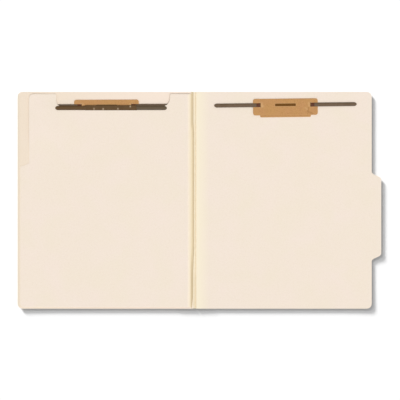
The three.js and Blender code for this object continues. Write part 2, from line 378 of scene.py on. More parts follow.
@dataclass(frozen=True)
class CutSheet:
    """A sheet of board, paper or film that is cut to an outline, with softened edges."""

    outline: Outline
    thickness: float
    openings: tuple[Outline, ...] = ()
    edge_radius: float = 0.1
    spacing: float = 6.0
    edge_spacing: float = 5.0
    margin: float = 1.4
    inner_share: float = 0.35
    band_share: float = 0.5
    bends: tuple[float, ...] = ()

    def rim(self) -> list[tuple[float, float]]:
        """Gives the edge's section, from the top to the underside.

        Returns:
            Pairs of inset and height.
        """
        radius = min(self.edge_radius, self.thickness / 2.2)
        turns = [math.radians(angle) for angle in (0, 30, 60, 90)]
        upper = [
            (radius * (1 - math.sin(turn)), self.thickness - radius * (1 - math.cos(turn)))
            for turn in turns
        ]
        return upper + [(inset, self.thickness - height) for inset, height in reversed(upper)]

    @staticmethod
    def between(edges: Sequence[Outline], plan: Array, gap: float = 0.0) -> Array:
        """Tells which points lie inside the outline and outside its openings.

        Args:
            edges: The outline's edge, then the openings' edges.
            plan: The points, one a row.
            gap: How far a point has to lie from every edge.

        Returns:
            True for each such point.
        """
        inside = edges[0].covers(plan)
        for edge in edges[1:]:
            inside &= ~edge.covers(plan)
        for edge in edges:
            inside &= edge.distance(plan) > gap
        return inside

    def inner_points(self, loops: Sequence[Outline]) -> Array:
        """Spreads points over the sheet, clear of its edges.

        Args:
            loops: The outline and the openings.

        Returns:
            The points, one a row.
        """
        low = self.outline.points.min(axis=0)
        high = self.outline.points.max(axis=0)
        counts = np.maximum(2, np.ceil((high - low) / self.spacing).astype(int))
        columns = np.linspace(low[0], high[0], counts[0])
        rows = np.linspace(low[1], high[1], counts[1])
        shifts = [0.5 * self.spacing if index % 2 else 0.0 for index in range(len(rows))]
        spots = [(x + shift, y) for y, shift in zip(rows, shifts) for x in columns]
        spots += [(x, y) for y in self.bends for x in np.linspace(low[0], high[0], 2 * counts[0])]
        plan = np.array(spots)
        return plan[self.between(loops, plan, self.margin + self.inner_share * self.spacing)]

    @classmethod
    def filled(
        cls, edges: Sequence[Outline], inner: Array
    ) -> tuple[Array, Array, list[list[int]]]:
        """Fills the plan with triangles that face up.

        Args:
            edges: The edges of the outline and of the openings.
            inner: The points between them.

        Returns:
            The plan points, the triangles, and each edge's own points in their order.
        """
        joins: list[tuple[int, int]] = []
        spans: list[range] = []
        start = 0
        for edge in edges:
            span = range(start, start + len(edge.points))
            joins.extend(zip(span, [*span[1:], start]))
            spans.append(span)
            start = span.stop
        given = np.concatenate([*(edge.points for edge in edges), inner])
        found = delaunay_2d_cdt([Vector(p) for p in given], joins, [], 0, 1e-6)
        plan = np.array([tuple(v) for v in found[0]])
        where = {old: new for new, olds in enumerate(found[3]) for old in olds}
        corners = np.array(found[2])
        corners = corners[cls.between(edges, plan[corners].mean(axis=1))]
        a, b, c = (plan[corners[:, i]] for i in range(3))
        ahead, aside = b - a, c - a
        turn = ahead[:, 0] * aside[:, 1] - ahead[:, 1] * aside[:, 0]
        corners[turn < 0] = corners[turn < 0][:, ::-1]
        return plan, corners, [[where[i] for i in span] for span in spans]

    def build(self, place: Placing) -> Moulding:
        """Makes the sheet's mesh.

        Args:
            place: Turns plan points and heights above the underside into places in the folder.

        Returns:
            The moulding.
        """
        signs = [1.0] + [-1.0] * len(self.openings)
        loops = [loop.divided(self.edge_spacing) for loop in (self.outline, *self.openings)]
        rim = self.rim()
        edges = [loop.inset(sign * rim[0][0]) for loop, sign in zip(loops, signs)]
        bands = [loop.inset(sign * self.margin) for loop, sign in zip(loops, signs)]
        inner = np.concatenate([*(band.points for band in bands), self.inner_points(loops)])
        inner = inner[self.between(edges, inner, self.band_share * self.margin)]
        plan, corners, spans = self.filled(edges, inner)
        count = len(plan)
        plans = [plan, plan]
        heights = [np.full(count, self.thickness), np.zeros(count)]
        faces = [tuple(t) for t in corners.tolist()]
        faces += [tuple(i + count for i in reversed(t)) for t in corners.tolist()]
        total = 2 * count
        for span, loop, sign in zip(spans, loops, signs):
            rings = [span]
            for inset, height in rim[1:-1]:
                ring = loop.inset(sign * inset).points
                plans.append(ring)
                heights.append(np.full(len(ring), height))
                rings.append(list(range(total, total + len(ring))))
                total += len(ring)
            rings.append([i + count for i in span])
            for upper, lower in zip(rings, rings[1:]):
                for i in range(len(upper)):
                    j = (i + 1) % len(upper)
                    face = (upper[i], lower[i], lower[j], upper[j])
                    faces.append(face if sign > 0 else tuple(reversed(face)))
        every = np.concatenate(plans)
        distance = np.min([loop.distance(every) for loop in loops], axis=0)
        distance[2 * count :] = 0.0
        return Moulding(place(every, np.concatenate(heights)), faces, every, distance)


@dataclass(frozen=True)
class FormedStrip:
    """A strip of sheet or metal that is bent to a form, given by the grid of its middle surface.

    The flat places across and along the strip are grids too, or one row or column of them.
    """

    middle: Array
    across: Array
    along: Array
    thickness: float
    edge_share: float = 1.0

    @staticmethod
    def quads(rows: int, columns: int) -> list[tuple[int, ...]]:
        """Joins the points of the upper and lower grids into faces, with walls round them.

        Args:
            rows: The rows of each grid.
            columns: Its columns.

        Returns:
            The faces.
        """
        top = np.arange(rows * columns).reshape(rows, columns)
        base = top + rows * columns
        sides = [
            (top[:-1, :-1], top[:-1, 1:], top[1:, 1:], top[1:, :-1]),
            (base[1:, :-1], base[1:, 1:], base[:-1, 1:], base[:-1, :-1]),
            (base[0, :-1], base[0, 1:], top[0, 1:], top[0, :-1]),
            (top[-1, :-1], top[-1, 1:], base[-1, 1:], base[-1, :-1]),
            (top[:-1, 0], top[1:, 0], base[1:, 0], base[:-1, 0]),
            (base[:-1, -1], base[1:, -1], top[1:, -1], top[:-1, -1]),
        ]
        joined = [np.stack([corner.ravel() for corner in side], axis=1) for side in sides]
        return [tuple(face) for face in np.concatenate(joined).tolist()]

    def build(self, wear_and_shade: Array | None = None) -> Moulding:
        """Makes the strip's mesh.

        Args:
            wear_and_shade: A mark at each grid point: abrasion from 0 to 1, and painted shade and
                painted highlight on the gusset, tape and prongs.

        Returns:
            The moulding.
        """
        shape = self.middle.shape[:2]
        across, along = (np.broadcast_to(flat, shape) for flat in (self.across, self.along))
        normal = np.cross(np.gradient(self.middle, axis=1), np.gradient(self.middle, axis=0))
        normal /= np.maximum(np.linalg.norm(normal, axis=2, keepdims=True), 1e-9)
        half = np.full(shape, self.thickness / 2)
        for border in (half[0], half[-1], half[:, 0], half[:, -1]):
            border *= self.edge_share
        shift = normal * half[..., None]
        points = np.concatenate([self.middle + shift, self.middle - shift]).reshape(-1, 3)
        flat = np.stack([across, along], axis=2).reshape(-1, 2)
        sides = np.minimum(across - across[:, :1], across[:, -1:] - across)
        ends = np.minimum(along - along[:1], along[-1:] - along)
        from_edge = np.minimum(np.abs(sides), np.abs(ends)).reshape(-1)
        wear_and_shade_share = np.broadcast_to(0.0 if wear_and_shade is None else wear_and_shade, shape).reshape(-1)
        doubled = (np.tile(flat, (2, 1)), np.tile(from_edge, 2), np.tile(wear_and_shade_share, 2))
        return Moulding(points, self.quads(*shape), *doubled)


class Wiring:
    """Places nodes in a tree and joins their sockets."""

    def __init__(self, tree: bpy.types.NodeTree) -> None:
        """Starts on a tree."""
        self.tree = tree

    def node(
        self, kind: str, values: dict[str | int, object] | None = None, **settings: object
    ) -> bpy.types.Node:
        """Places one node.

        Args:
            kind: The node's type.
            values: What its unlinked inputs are set to.
            settings: Its own options.

        Returns:
            The node.
        """
        made = self.tree.nodes.new(kind)
        row, column = divmod(len(self.tree.nodes), 12)
        made.location = (220.0 * column, -260.0 * row)
        for key, value in settings.items():
            setattr(made, key, value)
        for key, value in (values or {}).items():
            made.inputs[key].default_value = value
        return made

    def join(self, source: object, target: Socket) -> None:
        """Joins an output to an input, or sets the input where the source is a plain value."""
        if isinstance(source, Socket):
            self.tree.links.new(source, target)
        else:
            target.default_value = source

    def maths(self, operation: str, first: object, second: object) -> Socket:
        """Places a Math node.

        Args:
            operation: What it does.
            first: A socket or a number.
            second: A socket or a number.

        Returns:
            The result.
        """
        made = self.node("ShaderNodeMath", operation=operation)
        self.join(first, made.inputs[0])
        self.join(second, made.inputs[1])
        return made.outputs[0]

    def vectors(self, operation: str, first: Socket, second: Socket) -> Socket:
        """Places a Vector Math node.

        Args:
            operation: What it does.
            first: A vector.
            second: Another vector, or the scale where it scales.

        Returns:
            The result.
        """
        made = self.node("ShaderNodeVectorMath", operation=operation)
        self.join(first, made.inputs[0])
        self.join(second, made.inputs["Scale" if operation == "SCALE" else 1])
        return made.outputs[0]

    def ramp(
        self, value: Socket, low: float, high: float, to_low: float = 0.0, to_high: float = 1.0
    ) -> Socket:
        """Stretches a value's range to another, and holds the value there.

        Args:
            value: The value.
            low: The range's low end.
            high: Its high end.
            to_low: What the low end becomes.
            to_high: What the high end becomes.

        Returns:
            The result.
        """
        made = self.node("ShaderNodeMapRange", {1: low, 2: high, 3: to_low, 4: to_high})
        self.join(value, made.inputs[0])
        return made.outputs[0]

    def blended(self, share: object, first: object, second: object) -> Socket:
        """Mixes two colours, each a socket or a colour.

        Args:
            share: The second one's share.
            first: The first colour.
            second: The second colour.

        Returns:
            The mixed colour.
        """
        made = self.node("ShaderNodeMix", data_type="RGBA", blend_type="MIX")
        for index, value in ((0, share), (6, first), (7, second)):
            self.join(value, made.inputs[index])
        return made.outputs[2]

    def noise(
        self, place: Socket, scale: float, detail: float = 2.0, distortion: float = 0.0
    ) -> Socket:
        """Places a noise texture.

        Args:
            place: Where it is read.
            scale: How fine it is.
            detail: How many finer layers it has.
            distortion: How far it is warped.

        Returns:
            Its value.
        """
        values = {"Scale": scale, "Detail": detail, "Distortion": distortion}
        made = self.node("ShaderNodeTexNoise", values)
        self.join(place, made.inputs["Vector"])
        return made.outputs["Fac"]

    def noted(self, label: str, output: str = "Fac") -> Socket:
        """Gives what is noted under a label at the mesh's points."""
        return self.node("ShaderNodeAttribute", attribute_name=label).outputs[output]

    def split(self, place: Socket, axis: str) -> Socket:
        """Takes one part of a place.

        Args:
            place: The place.
            axis: The part's axis.

        Returns:
            The part.
        """
        made = self.node("ShaderNodeSeparateXYZ")
        self.join(place, made.inputs[0])
        return made.outputs[axis]


class SharedEffects:
    """The node groups that several finishes place in their materials, each built once."""

    @staticmethod
    def _group(
        name: str, values: dict[str, float], outputs: Sequence[str]
    ) -> tuple[Wiring, bpy.types.Node, bpy.types.Node]:
        """Starts a node group, whose first input is the place on the sheet.

        Args:
            name: The group's name.
            values: The other inputs and their values.
            outputs: The names of the number outputs.

        Returns:
            The group's wiring, its input node and its output node.
        """
        tree = bpy.data.node_groups.new(name, "ShaderNodeTree")
        tree.interface.new_socket("Place", in_out="INPUT", socket_type="NodeSocketVector")
        for label, value in values.items():
            socket = tree.interface.new_socket(
                label, in_out="INPUT", socket_type="NodeSocketFloat"
            )
            socket.default_value = value
        for label in outputs:
            tree.interface.new_socket(label, in_out="OUTPUT", socket_type="NodeSocketFloat")
        wiring = Wiring(tree)
        return wiring, wiring.node("NodeGroupInput"), wiring.node("NodeGroupOutput")

    @classmethod
    @cache
    def cloudy_tone(cls) -> bpy.types.NodeTree:
        """Soft patches of tone, as pulp, light and handling leave in a sheet.

        Returns:
            The node group.
        """
        values = {"Patches per Metre": 20.0, "Contrast": 1.0}
        wiring, given, out = cls._group("cloudy_tone", values, ["Tone"])
        patches = given.outputs["Patches per Metre"]
        scaled = wiring.vectors("SCALE", given.outputs["Place"], patches)
        cloud = wiring.noise(scaled, scale=1.0, detail=3.0, distortion=0.4)
        centred = wiring.maths("SUBTRACT", cloud, 0.5)
        spread = wiring.maths("MULTIPLY", centred, given.outputs["Contrast"])
        wiring.join(wiring.ramp(spread, -0.22, 0.22), out.inputs["Tone"])
        return wiring.tree

    @classmethod
    @cache
    def fibre_mat(cls) -> bpy.types.NodeTree:
        """Long thin fibres that lie across each other at three slants.

        Returns:
            The node group.
        """
        values = {"Fibres per Metre": 900.0, "Length Share": 0.16, "Curl": 0.4, "Width": 0.05}
        wiring, given, out = cls._group("fibre_mat", values, ["Fibres", "Relief"])
        fibres = given.outputs["Fibres per Metre"]
        scaled = wiring.vectors("SCALE", given.outputs["Place"], fibres)
        sway = wiring.node("ShaderNodeTexNoise", {"Scale": 0.11, "Detail": 1.0})
        wiring.join(scaled, sway.inputs["Vector"])
        reach = wiring.maths("MULTIPLY", given.outputs["Curl"], 10.0)
        pushed = wiring.vectors("SCALE", sway.outputs["Color"], reach)
        swayed = wiring.vectors("ADD", scaled, pushed)
        layers: list[Socket] = []
        for slant in (0.5, 1.75, 2.75):
            turned = wiring.node(
                "ShaderNodeVectorRotate", {"Angle": slant}, rotation_type="Z_AXIS"
            )
            wiring.join(swayed, turned.inputs["Vector"])
            shape = wiring.node("ShaderNodeCombineXYZ", {"Y": 1.0, "Z": 1.0})
            wiring.join(given.outputs["Length Share"], shape.inputs["X"])
            drawn = wiring.vectors("MULTIPLY", turned.outputs[0], shape.outputs[0])
            cloud = wiring.noise(drawn, scale=1.0, detail=1.0)
            ridge = wiring.maths("ABSOLUTE", wiring.maths("SUBTRACT", cloud, 0.5), 0.0)
            share = wiring.maths("DIVIDE", ridge, given.outputs["Width"])
            layers.append(wiring.ramp(share, 0.0, 1.0, 1.0, 0.0))
        over, heap = (
            wiring.maths(operation, wiring.maths(operation, layers[0], layers[1]), layers[2])
            for operation in ("MAXIMUM", "ADD")
        )
        wiring.join(over, out.inputs["Fibres"])
        wiring.join(wiring.maths("MULTIPLY", heap, 0.4), out.inputs["Relief"])
        return wiring.tree

    @classmethod
    @cache
    def edge_wear_and_shade(cls) -> bpy.types.NodeTree:
        """A band along cut edges, broken up at random: abrasion on kraft, the paler core and a
        painted highlight on manila, lacquer pooling and painted shade on metal.

        Returns:
            The node group.
        """
        values = {"Reach": 0.001, "Raggedness": 0.6}
        wiring, given, out = cls._group("edge_wear_and_shade", values, ["Cut Face", "Wear"])
        edge = wiring.noted(FROM_EDGE)
        wiring.join(wiring.ramp(edge, 0.00002, 0.00022, 1.0, 0.0), out.inputs["Cut Face"])
        cloud = wiring.noise(given.outputs["Place"], scale=420.0, detail=3.0)
        ragged = wiring.maths("SUBTRACT", cloud, 0.5)
        swing = wiring.maths("MULTIPLY", ragged, given.outputs["Raggedness"])
        near = wiring.maths("DIVIDE", edge, given.outputs["Reach"])
        wear_and_shade_share = wiring.ramp(wiring.maths("ADD", near, swing), 0.0, 1.0, 1.0, 0.0)
        wiring.join(wear_and_shade_share, out.inputs["Wear"])
        return wiring.tree


class Coat(Wiring):
    """A material in the making, with its shader and the place on the flat sheet."""

    def __init__(self, name: str, flat: bool = True) -> None:
        """Starts the material.

        Args:
            name: The material's name.
            flat: Whether its pattern follows the flat sheet, or else the object.
        """
        self.material = bpy.data.materials.new(name)
        self.material.use_nodes = True
        super().__init__(self.material.node_tree)
        self.shader = self.tree.nodes["Principled BSDF"]
        if flat:
            self.place = self.noted(FLAT, "Vector")
        else:
            self.place = self.node("ShaderNodeTexCoord").outputs["Object"]

    def effect(self, group: bpy.types.NodeTree, **values: float) -> bpy.types.Node:
        """Places a shared effect.

        Args:
            group: The effect's node group.
            values: The effect's own values, with _ for each space.

        Returns:
            The group node.
        """
        made = self.node("ShaderNodeGroup", node_tree=group)
        self.join(self.place, made.inputs["Place"])
        for key, value in values.items():
            made.inputs[key.replace("_", " ")].default_value = value
        return made

    def tone(self, patches: float, contrast: float = 1.0) -> Socket:
        """Gives soft patches of tone, so many to a metre."""
        group = SharedEffects.cloudy_tone()
        return self.effect(group, Patches_per_Metre=patches, Contrast=contrast).outputs["Tone"]

    def give(self, **values: object) -> None:
        """Joins or sets the shader's inputs, named with _ for each space."""
        for key, value in values.items():
            self.join(value, self.shader.inputs[key.replace("_", " ")])

    def bump(self, height: Socket, depth: float, strength: float) -> None:
        """Gives the shader a relief.

        Args:
            height: The relief.
            depth: Its depth in metres.
            strength: How strongly it shows.
        """
        made = self.node("ShaderNodeBump", {"Strength": strength, "Distance": depth})
        self.join(height, made.inputs["Height"])
        self.join(made.outputs[0], self.shader.inputs["Normal"])


@dataclass(frozen=True)
class Shade:
    """A tone that fades out across a board, from full at one place to none at another."""

    colour: Colour
    full_at: float
    none_at: float


@dataclass(frozen=True)
class ManilaBoard:
    """Matt manila board: a warm cream with a faint mottle of fibres and a paler cut face."""

    name: str = "manila_board_finish"
    cream: Colour = paint(245, 230, 217)
    warm: Colour = paint(243, 230, 212)
    fibre: Colour = paint(226, 206, 182)
    core: Colour = paint(250, 238, 221)
    shades: tuple[Shade, ...] = ()

    def material(self) -> bpy.types.Material:
        """Builds the material.

        Returns:
            The material.
        """
        coat = Coat(self.name)
        fine = coat.tone(patches=420.0, contrast=1.4)
        fibres = coat.effect(
            SharedEffects.fibre_mat(), Fibres_per_Metre=1500.0, Length_Share=0.2, Width=0.035
        )
        wear = coat.effect(SharedEffects.edge_wear_and_shade(), Reach=0.0011, Raggedness=0.9)
        speck = coat.maths("MULTIPLY", fibres.outputs["Fibres"], fine)
        tone = coat.blended(coat.tone(patches=24.0), self.cream, self.warm)
        tone = coat.blended(coat.maths("MULTIPLY", speck, 0.3), tone, self.fibre)
        for shade in self.shades:
            across = coat.split(coat.place, "X")
            near = coat.ramp(across, shade.full_at * MM, shade.none_at * MM, 1.0, 0.0)
            tone = coat.blended(near, tone, shade.colour)
        # Paler towards the cut edges: partly the paler core, partly a painted highlight along the
        # edge.
        tone = coat.blended(coat.maths("MULTIPLY", wear.outputs["Wear"], 0.25), tone, self.core)
        tone = coat.blended(wear.outputs["Cut Face"], tone, self.core)
        rough = coat.ramp(speck, 0.0, 1.0, 0.78, 0.9)
        coat.give(Base_Color=tone, Roughness=rough, Specular_IOR_Level=0.3)
        relief = coat.maths("ADD", fibres.outputs["Relief"], coat.maths("MULTIPLY", fine, 0.5))
        coat.bump(relief, depth=0.00002, strength=0.5)
        return coat.material


@dataclass(frozen=True)
class KraftPaper:
    """Brown kraft paper with long fibres and darker flecks, paler where abraded, with painted
    light and shade at a crease.
    """

    name: str = "kraft_paper_finish"
    brown: Colour = paint(196, 148, 90)
    ruddy: Colour = paint(197, 146, 94)
    fleck_and_crease_shade: Colour = paint(150, 104, 58)
    rub_and_highlight: Colour = paint(214, 172, 120)

    def material(self) -> bpy.types.Material:
        """Builds the material, whose scuff is pale above 0, for abrasion and a painted highlight,
        and dark below 0, for painted crease shade.

        Returns:
            The material.
        """
        coat = Coat(self.name)
        fine = coat.tone(patches=700.0, contrast=1.3)
        fibres = coat.effect(
            SharedEffects.fibre_mat(),
            Fibres_per_Metre=800.0,
            Length_Share=0.1,
            Curl=0.5,
            Width=0.04,
        )
        wear = coat.effect(SharedEffects.edge_wear_and_shade(), Reach=0.0008, Raggedness=1.1)
        wear_and_shade = coat.noted(WEAR_AND_SHADE)
        speck = coat.maths("MULTIPLY", fibres.outputs["Fibres"], fine)
        broad = coat.tone(patches=70.0, contrast=1.2)
        tone = coat.blended(broad, self.brown, self.ruddy)
        tone = coat.blended(coat.maths("MULTIPLY", speck, 0.55), tone, self.fleck_and_crease_shade)
        tone = coat.blended(coat.maths("MULTIPLY", wear.outputs["Wear"], 0.5), tone, self.rub_and_highlight)
        # Pale: abrasion, and a painted highlight on a crease's lit side.
        tone = coat.blended(coat.ramp(wear_and_shade, 0.0, 1.0), tone, self.rub_and_highlight)
        # Painted shade: dark along the crimped crease.
        tone = coat.blended(coat.ramp(wear_and_shade, -1.0, 0.0, 0.8, 0.0), tone, self.fleck_and_crease_shade)
        rough = coat.ramp(speck, 0.0, 1.0, 0.72, 0.9)
        coat.give(Base_Color=tone, Roughness=rough, Specular_IOR_Level=0.3)
        relief = coat.maths("ADD", fibres.outputs["Relief"], coat.maths("MULTIPLY", fine, 0.6))
        coat.bump(relief, depth=0.00004, strength=0.6)
        return coat.material


@dataclass(frozen=True)
class SpunbondedSheet:
    """Pale yellow spunbonded sheet: a silky mat of swirled fibres, painted darker in its creases
    as shade.
    """

    name: str = "spunbonded_sheet_finish"
    yellow: Colour = paint(246, 230, 201)
    thin: Colour = paint(241, 224, 190)
    fibre: Colour = paint(250, 238, 215)
    crease: Colour = paint(216, 197, 160)
    deep_shade: Colour = paint(178, 152, 108)

    def material(self) -> bpy.types.Material:
        """Builds the material, whose scuff paints shade: it runs to 1 in a crease and on to 2 in
        its depth.

        Returns:
            The material.
        """
        coat = Coat(self.name)
        broad = coat.tone(patches=160.0, contrast=1.3)
        mat = coat.effect(
            SharedEffects.fibre_mat(),
            Fibres_per_Metre=420.0,
            Length_Share=0.14,
            Curl=0.9,
            Width=0.07,
        )
        fibres = mat.outputs["Fibres"]
        wear_and_shade = coat.noted(WEAR_AND_SHADE)
        tone = coat.blended(broad, self.yellow, self.thin)
        tone = coat.blended(coat.maths("MULTIPLY", fibres, 0.5), tone, self.fibre)
        # Painted shade in the creases, darker still in their depth.
        tone = coat.blended(coat.ramp(wear_and_shade, 0.0, 1.0), tone, self.crease)
        tone = coat.blended(coat.ramp(wear_and_shade, 1.0, 2.0), tone, self.deep_shade)
        rough = coat.ramp(fibres, 0.0, 1.0, 0.62, 0.42)
        coat.give(Base_Color=tone, Roughness=rough, Specular_IOR_Level=0.35)
        coat.give(Sheen_Weight=0.1, Sheen_Roughness=0.4)
        relief = coat.maths("ADD", mat.outputs["Relief"], coat.maths("MULTIPLY", broad, 0.4))
        coat.bump(relief, depth=0.00005, strength=0.6)
        return coat.material


@dataclass(frozen=True)
class BrownLacquer:
    """Strip steel under dark brown lacquer, darker at its edges from lacquer pooling and painted
    shade, and bare at its bends, with a painted highlight there.

    For a prong, the root where it dips into its hole is painted dark ruddy brown as shade.
    """

    name: str = "brown_lacquer_finish"
    brown: Colour = paint(82, 66, 42)
    worn_brown: Colour = paint(92, 74, 50)
    pooled_and_shaded: Colour = paint(64, 50, 28)
    steel: Colour = paint(196, 176, 150)
    ruddy: Colour = paint(72, 38, 14)
    root_shade_to: float = 4.6
    plain_from: float = 6.4
    gloss: float = 0.28
    root_shaded: bool = False

    def material(self) -> bpy.types.Material:
        """Builds the material.

        Returns:
            The material.
        """
        coat = Coat(self.name)
        wear = coat.effect(SharedEffects.edge_wear_and_shade(), Reach=0.0013, Raggedness=0.25)
        drawn = coat.node("ShaderNodeMapping", {"Scale": (3200.0, 60.0, 1.0)})
        coat.join(coat.place, drawn.inputs["Vector"])
        streaks = coat.noise(drawn.outputs[0], scale=1.0, detail=3.0)
        rub_and_highlight = coat.maths("MULTIPLY", coat.noted(WEAR_AND_SHADE), coat.ramp(streaks, 0.3, 0.6))
        broad = coat.tone(patches=110.0, contrast=1.2)
        tone = coat.blended(broad, self.brown, self.worn_brown)
        tone = coat.blended(coat.ramp(streaks, 0.35, 0.75, 0.0, 0.2), tone, self.pooled_and_shaded)
        # Darker towards the edges: lacquer pooling, and painted shade where a domed prong's edge
        # turns from the light.
        tone = coat.blended(coat.maths("MULTIPLY", wear.outputs["Wear"], 0.7), tone, self.pooled_and_shaded)
        # Painted shade: a prong's root turns dark ruddy brown where it dips into its hole.
        if self.root_shaded:
            along = coat.split(coat.place, "Y")
            root = coat.ramp(along, self.root_shade_to * MM, self.plain_from * MM, 0.9, 0.0)
            tone = coat.blended(root, tone, self.ruddy)
        # Bare steel where abraded; at a prong's bend this is partly a painted highlight.
        tone = coat.blended(rub_and_highlight, tone, self.steel)
        rough = coat.ramp(streaks, 0.2, 0.8, 0.36, 0.5)
        coat.give(Base_Color=tone, Roughness=rough, Specular_IOR_Level=self.gloss)
        coat.give(Metallic=coat.maths("MULTIPLY", rub_and_highlight, 0.6))
        coat.bump(streaks, depth=0.00002, strength=0.35)
        return coat.material


@dataclass(frozen=True)
class GlueFilm:
    """Clear yellowish film of set adhesive, with trapped air and a dull shine."""

    name: str = "glue_film_finish"
    amber: Colour = paint(233, 220, 184)
    thick: Colour = paint(214, 196, 150)

    def material(self) -> bpy.types.Material:
        """Builds the material.

        Returns:
            The material.
        """
        coat = Coat(self.name, flat=False)
        pools = coat.tone(patches=260.0, contrast=1.6)
        air = coat.node("ShaderNodeTexVoronoi", {"Scale": 700.0})
        coat.join(coat.place, air.inputs["Vector"])
        bubbles = coat.ramp(air.outputs["Distance"], 0.1, 0.32, 1.0, 0.0)
        tone = coat.blended(pools, self.amber, self.thick)
        tone = coat.blended(coat.maths("MULTIPLY", bubbles, 0.35), tone, self.amber)
        coat.give(Base_Color=tone, Roughness=coat.ramp(pools, 0.0, 1.0, 0.28, 0.45))
        coat.bump(coat.maths("ADD", bubbles, pools), depth=0.00002, strength=0.5)
        return coat.material


@dataclass(frozen=True)
class Finishes:
    """The folder's finishes, each built once."""

    manila: bpy.types.Material
    back_manila: bpy.types.Material
    front_manila: bpy.types.Material
    kraft: bpy.types.Material
    spunbonded: bpy.types.Material
    tape: bpy.types.Material
    lacquer: bpy.types.Material
    channel_lacquer: bpy.types.Material
    prong_lacquer: bpy.types.Material
    strip_lacquer: bpy.types.Material
    glue: bpy.types.Material

    @classmethod
    def mixed(cls) -> "Finishes":
        """Builds all of them.

        Returns:
            The finishes.
        """
        # Painted highlight: the back board turns paler and yellower towards its spine edge.
        spine_highlight = Shade(paint(249, 238, 212), full_at=-4.2, none_at=13.5)
        # Painted shade: with the darker front colours below, inner leaves the front board darkest
        # at its outer side, under the divider, and lighter towards the spine.
        inner = Shade(paint(247, 230, 214), full_at=-70.0, none_at=-250.0)
        # Painted shade along the front board's outer edge.
        outer_edge_shade = Shade(paint(232, 218, 197), full_at=-250.0, none_at=-246.4)
        chosen = {
            "manila": ManilaBoard(),
            "back_manila": ManilaBoard("back_manila_finish", shades=(spine_highlight,)),
            # Painted shade: the front board's colours are darker and yellower than the back's, for
            # the shade under the divider.
            "front_manila": ManilaBoard(
                "front_manila_finish",
                cream=paint(242, 226, 207),
                warm=paint(240, 224, 203),
                shades=(inner, outer_edge_shade),
            ),
            "kraft": KraftPaper(),
            "spunbonded": SpunbondedSheet(),
            "tape": SpunbondedSheet(
                "hinge_tape_finish",
                yellow=paint(245, 232, 215),
                thin=paint(243, 229, 210),
                fibre=paint(248, 236, 219),
                crease=paint(241, 223, 188),
            ),
            "lacquer": BrownLacquer(),
            "channel_lacquer": BrownLacquer(
                "channel_lacquer_finish",
                brown=paint(90, 65, 34),
                worn_brown=paint(98, 73, 42),
                pooled_and_shaded=paint(72, 50, 24),
                gloss=0.15,
            ),
            "prong_lacquer": BrownLacquer(
                "prong_lacquer_finish",
                brown=paint(103, 83, 62),
                worn_brown=paint(112, 92, 72),
                pooled_and_shaded=paint(80, 64, 46),
                # Painted shade at the prongs' roots.
                ruddy=paint(84, 36, 6),
                gloss=0.15,
                root_shaded=True,
            ),
            # Painted shade and reflection: a darker, oranger copy of the lacquer for the strip
            # seen down the carrier's window, in its shade and lit by the kraft round it.
            "strip_lacquer": BrownLacquer(
                "strip_lacquer_finish",
                brown=paint(104, 66, 14),
                worn_brown=paint(112, 74, 22),
                pooled_and_shaded=paint(90, 56, 12),
                gloss=0.1,
            ),
            "glue": GlueFilm(),
        }
        return cls(**{part: finish.material() for part, finish in chosen.items()})


def dress(
    piece: bpy.types.Object, finish: bpy.types.Material, slot: Slot, *nodes: str
) -> bpy.types.Object:
    """Gives a piece its finish, and hides the solids that it stands for.

    Args:
        piece: The piece.
        finish: Its material.
        slot: What it is made of. Not used.
        nodes: The solids that it replaces.

    Returns:
        The piece.
    """
    piece.data.materials.append(finish)
    if nodes:
        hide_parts(*nodes)
    return piece


def mount(piece: bpy.types.Object, body: Body) -> bpy.types.Object:
    """Lets a dressed piece move with a body, and reports it.

    Args:
        piece: The piece.
        body: The body.

    Returns:
        The piece.
    """
    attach(piece, body.value)
    LOG.info("%s rides on %s with %d faces", piece.name, body.value, len(piece.data.polygons))
    return piece


def bend(
    piece: bpy.types.Object, first: Body, second: Body, start: Vector, end: Vector
) -> bpy.types.Object:
    """Bakes a dressed piece's place into its mesh, and reports it as bending between two bodies.

    Args:
        piece: The piece.
        first: The body that holds one side of it.
        second: The body that holds the other side.
        start: Where it starts to bend. Not used.
        end: Where it ends to bend. Not used.

    Returns:
        The piece.
    """
    tuple(start)
    tuple(end)
    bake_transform(piece)
    LOG.info("%s bends from %s to %s", piece.name, first.value, second.value)
    return piece


@dataclass(frozen=True)
class GlueLayer:
    """A thin film of adhesive between two layers."""

    name: str
    node: str
    body: Body
    outline: Outline
    thickness: float
    edge_radius: float = 0.02
    margin: float = 0.6

    def build(self, place: Placing, finishes: Finishes) -> bpy.types.Object:
        """Builds and dresses the film.

        Args:
            place: Turns plan points and heights above the film's underside into places.
            finishes: The folder's finishes.

        Returns:
            The film.
        """
        sheet = CutSheet(
            self.outline, self.thickness, edge_radius=self.edge_radius, margin=self.margin
        )
        film = sheet.build(place).finished(self.name)
        return mount(dress(film, finishes.glue, Slot.GLUE, self.node), self.body)


@dataclass(frozen=True)
class Cockle:
    """The faint long waves that damp air leaves in a flat board."""

    depth: float = 0.05
    length: float = 120.0
    length_shares: tuple[float, float] = (0.7, 1.6)
    waves: int = 5
    seed: int = 4

    def height(self, x: Array, y: Array) -> Array:
        """Gives the wave's height at plan points.

        Args:
            x: Places across the folder.
            y: Places up the pages.

        Returns:
            Heights, never below 0.
        """
        chance = np.random.default_rng(self.seed)
        total = np.zeros(np.broadcast(x, y).shape)
        for _ in range(self.waves):
            slant, phase = chance.uniform(0, 2 * math.pi, 2)
            rate = 2 * math.pi / (self.length * chance.uniform(*self.length_shares))
            total += np.sin((x * math.cos(slant) + y * math.sin(slant)) * rate + phase)
        return self.depth * (0.5 + 0.1 * total)


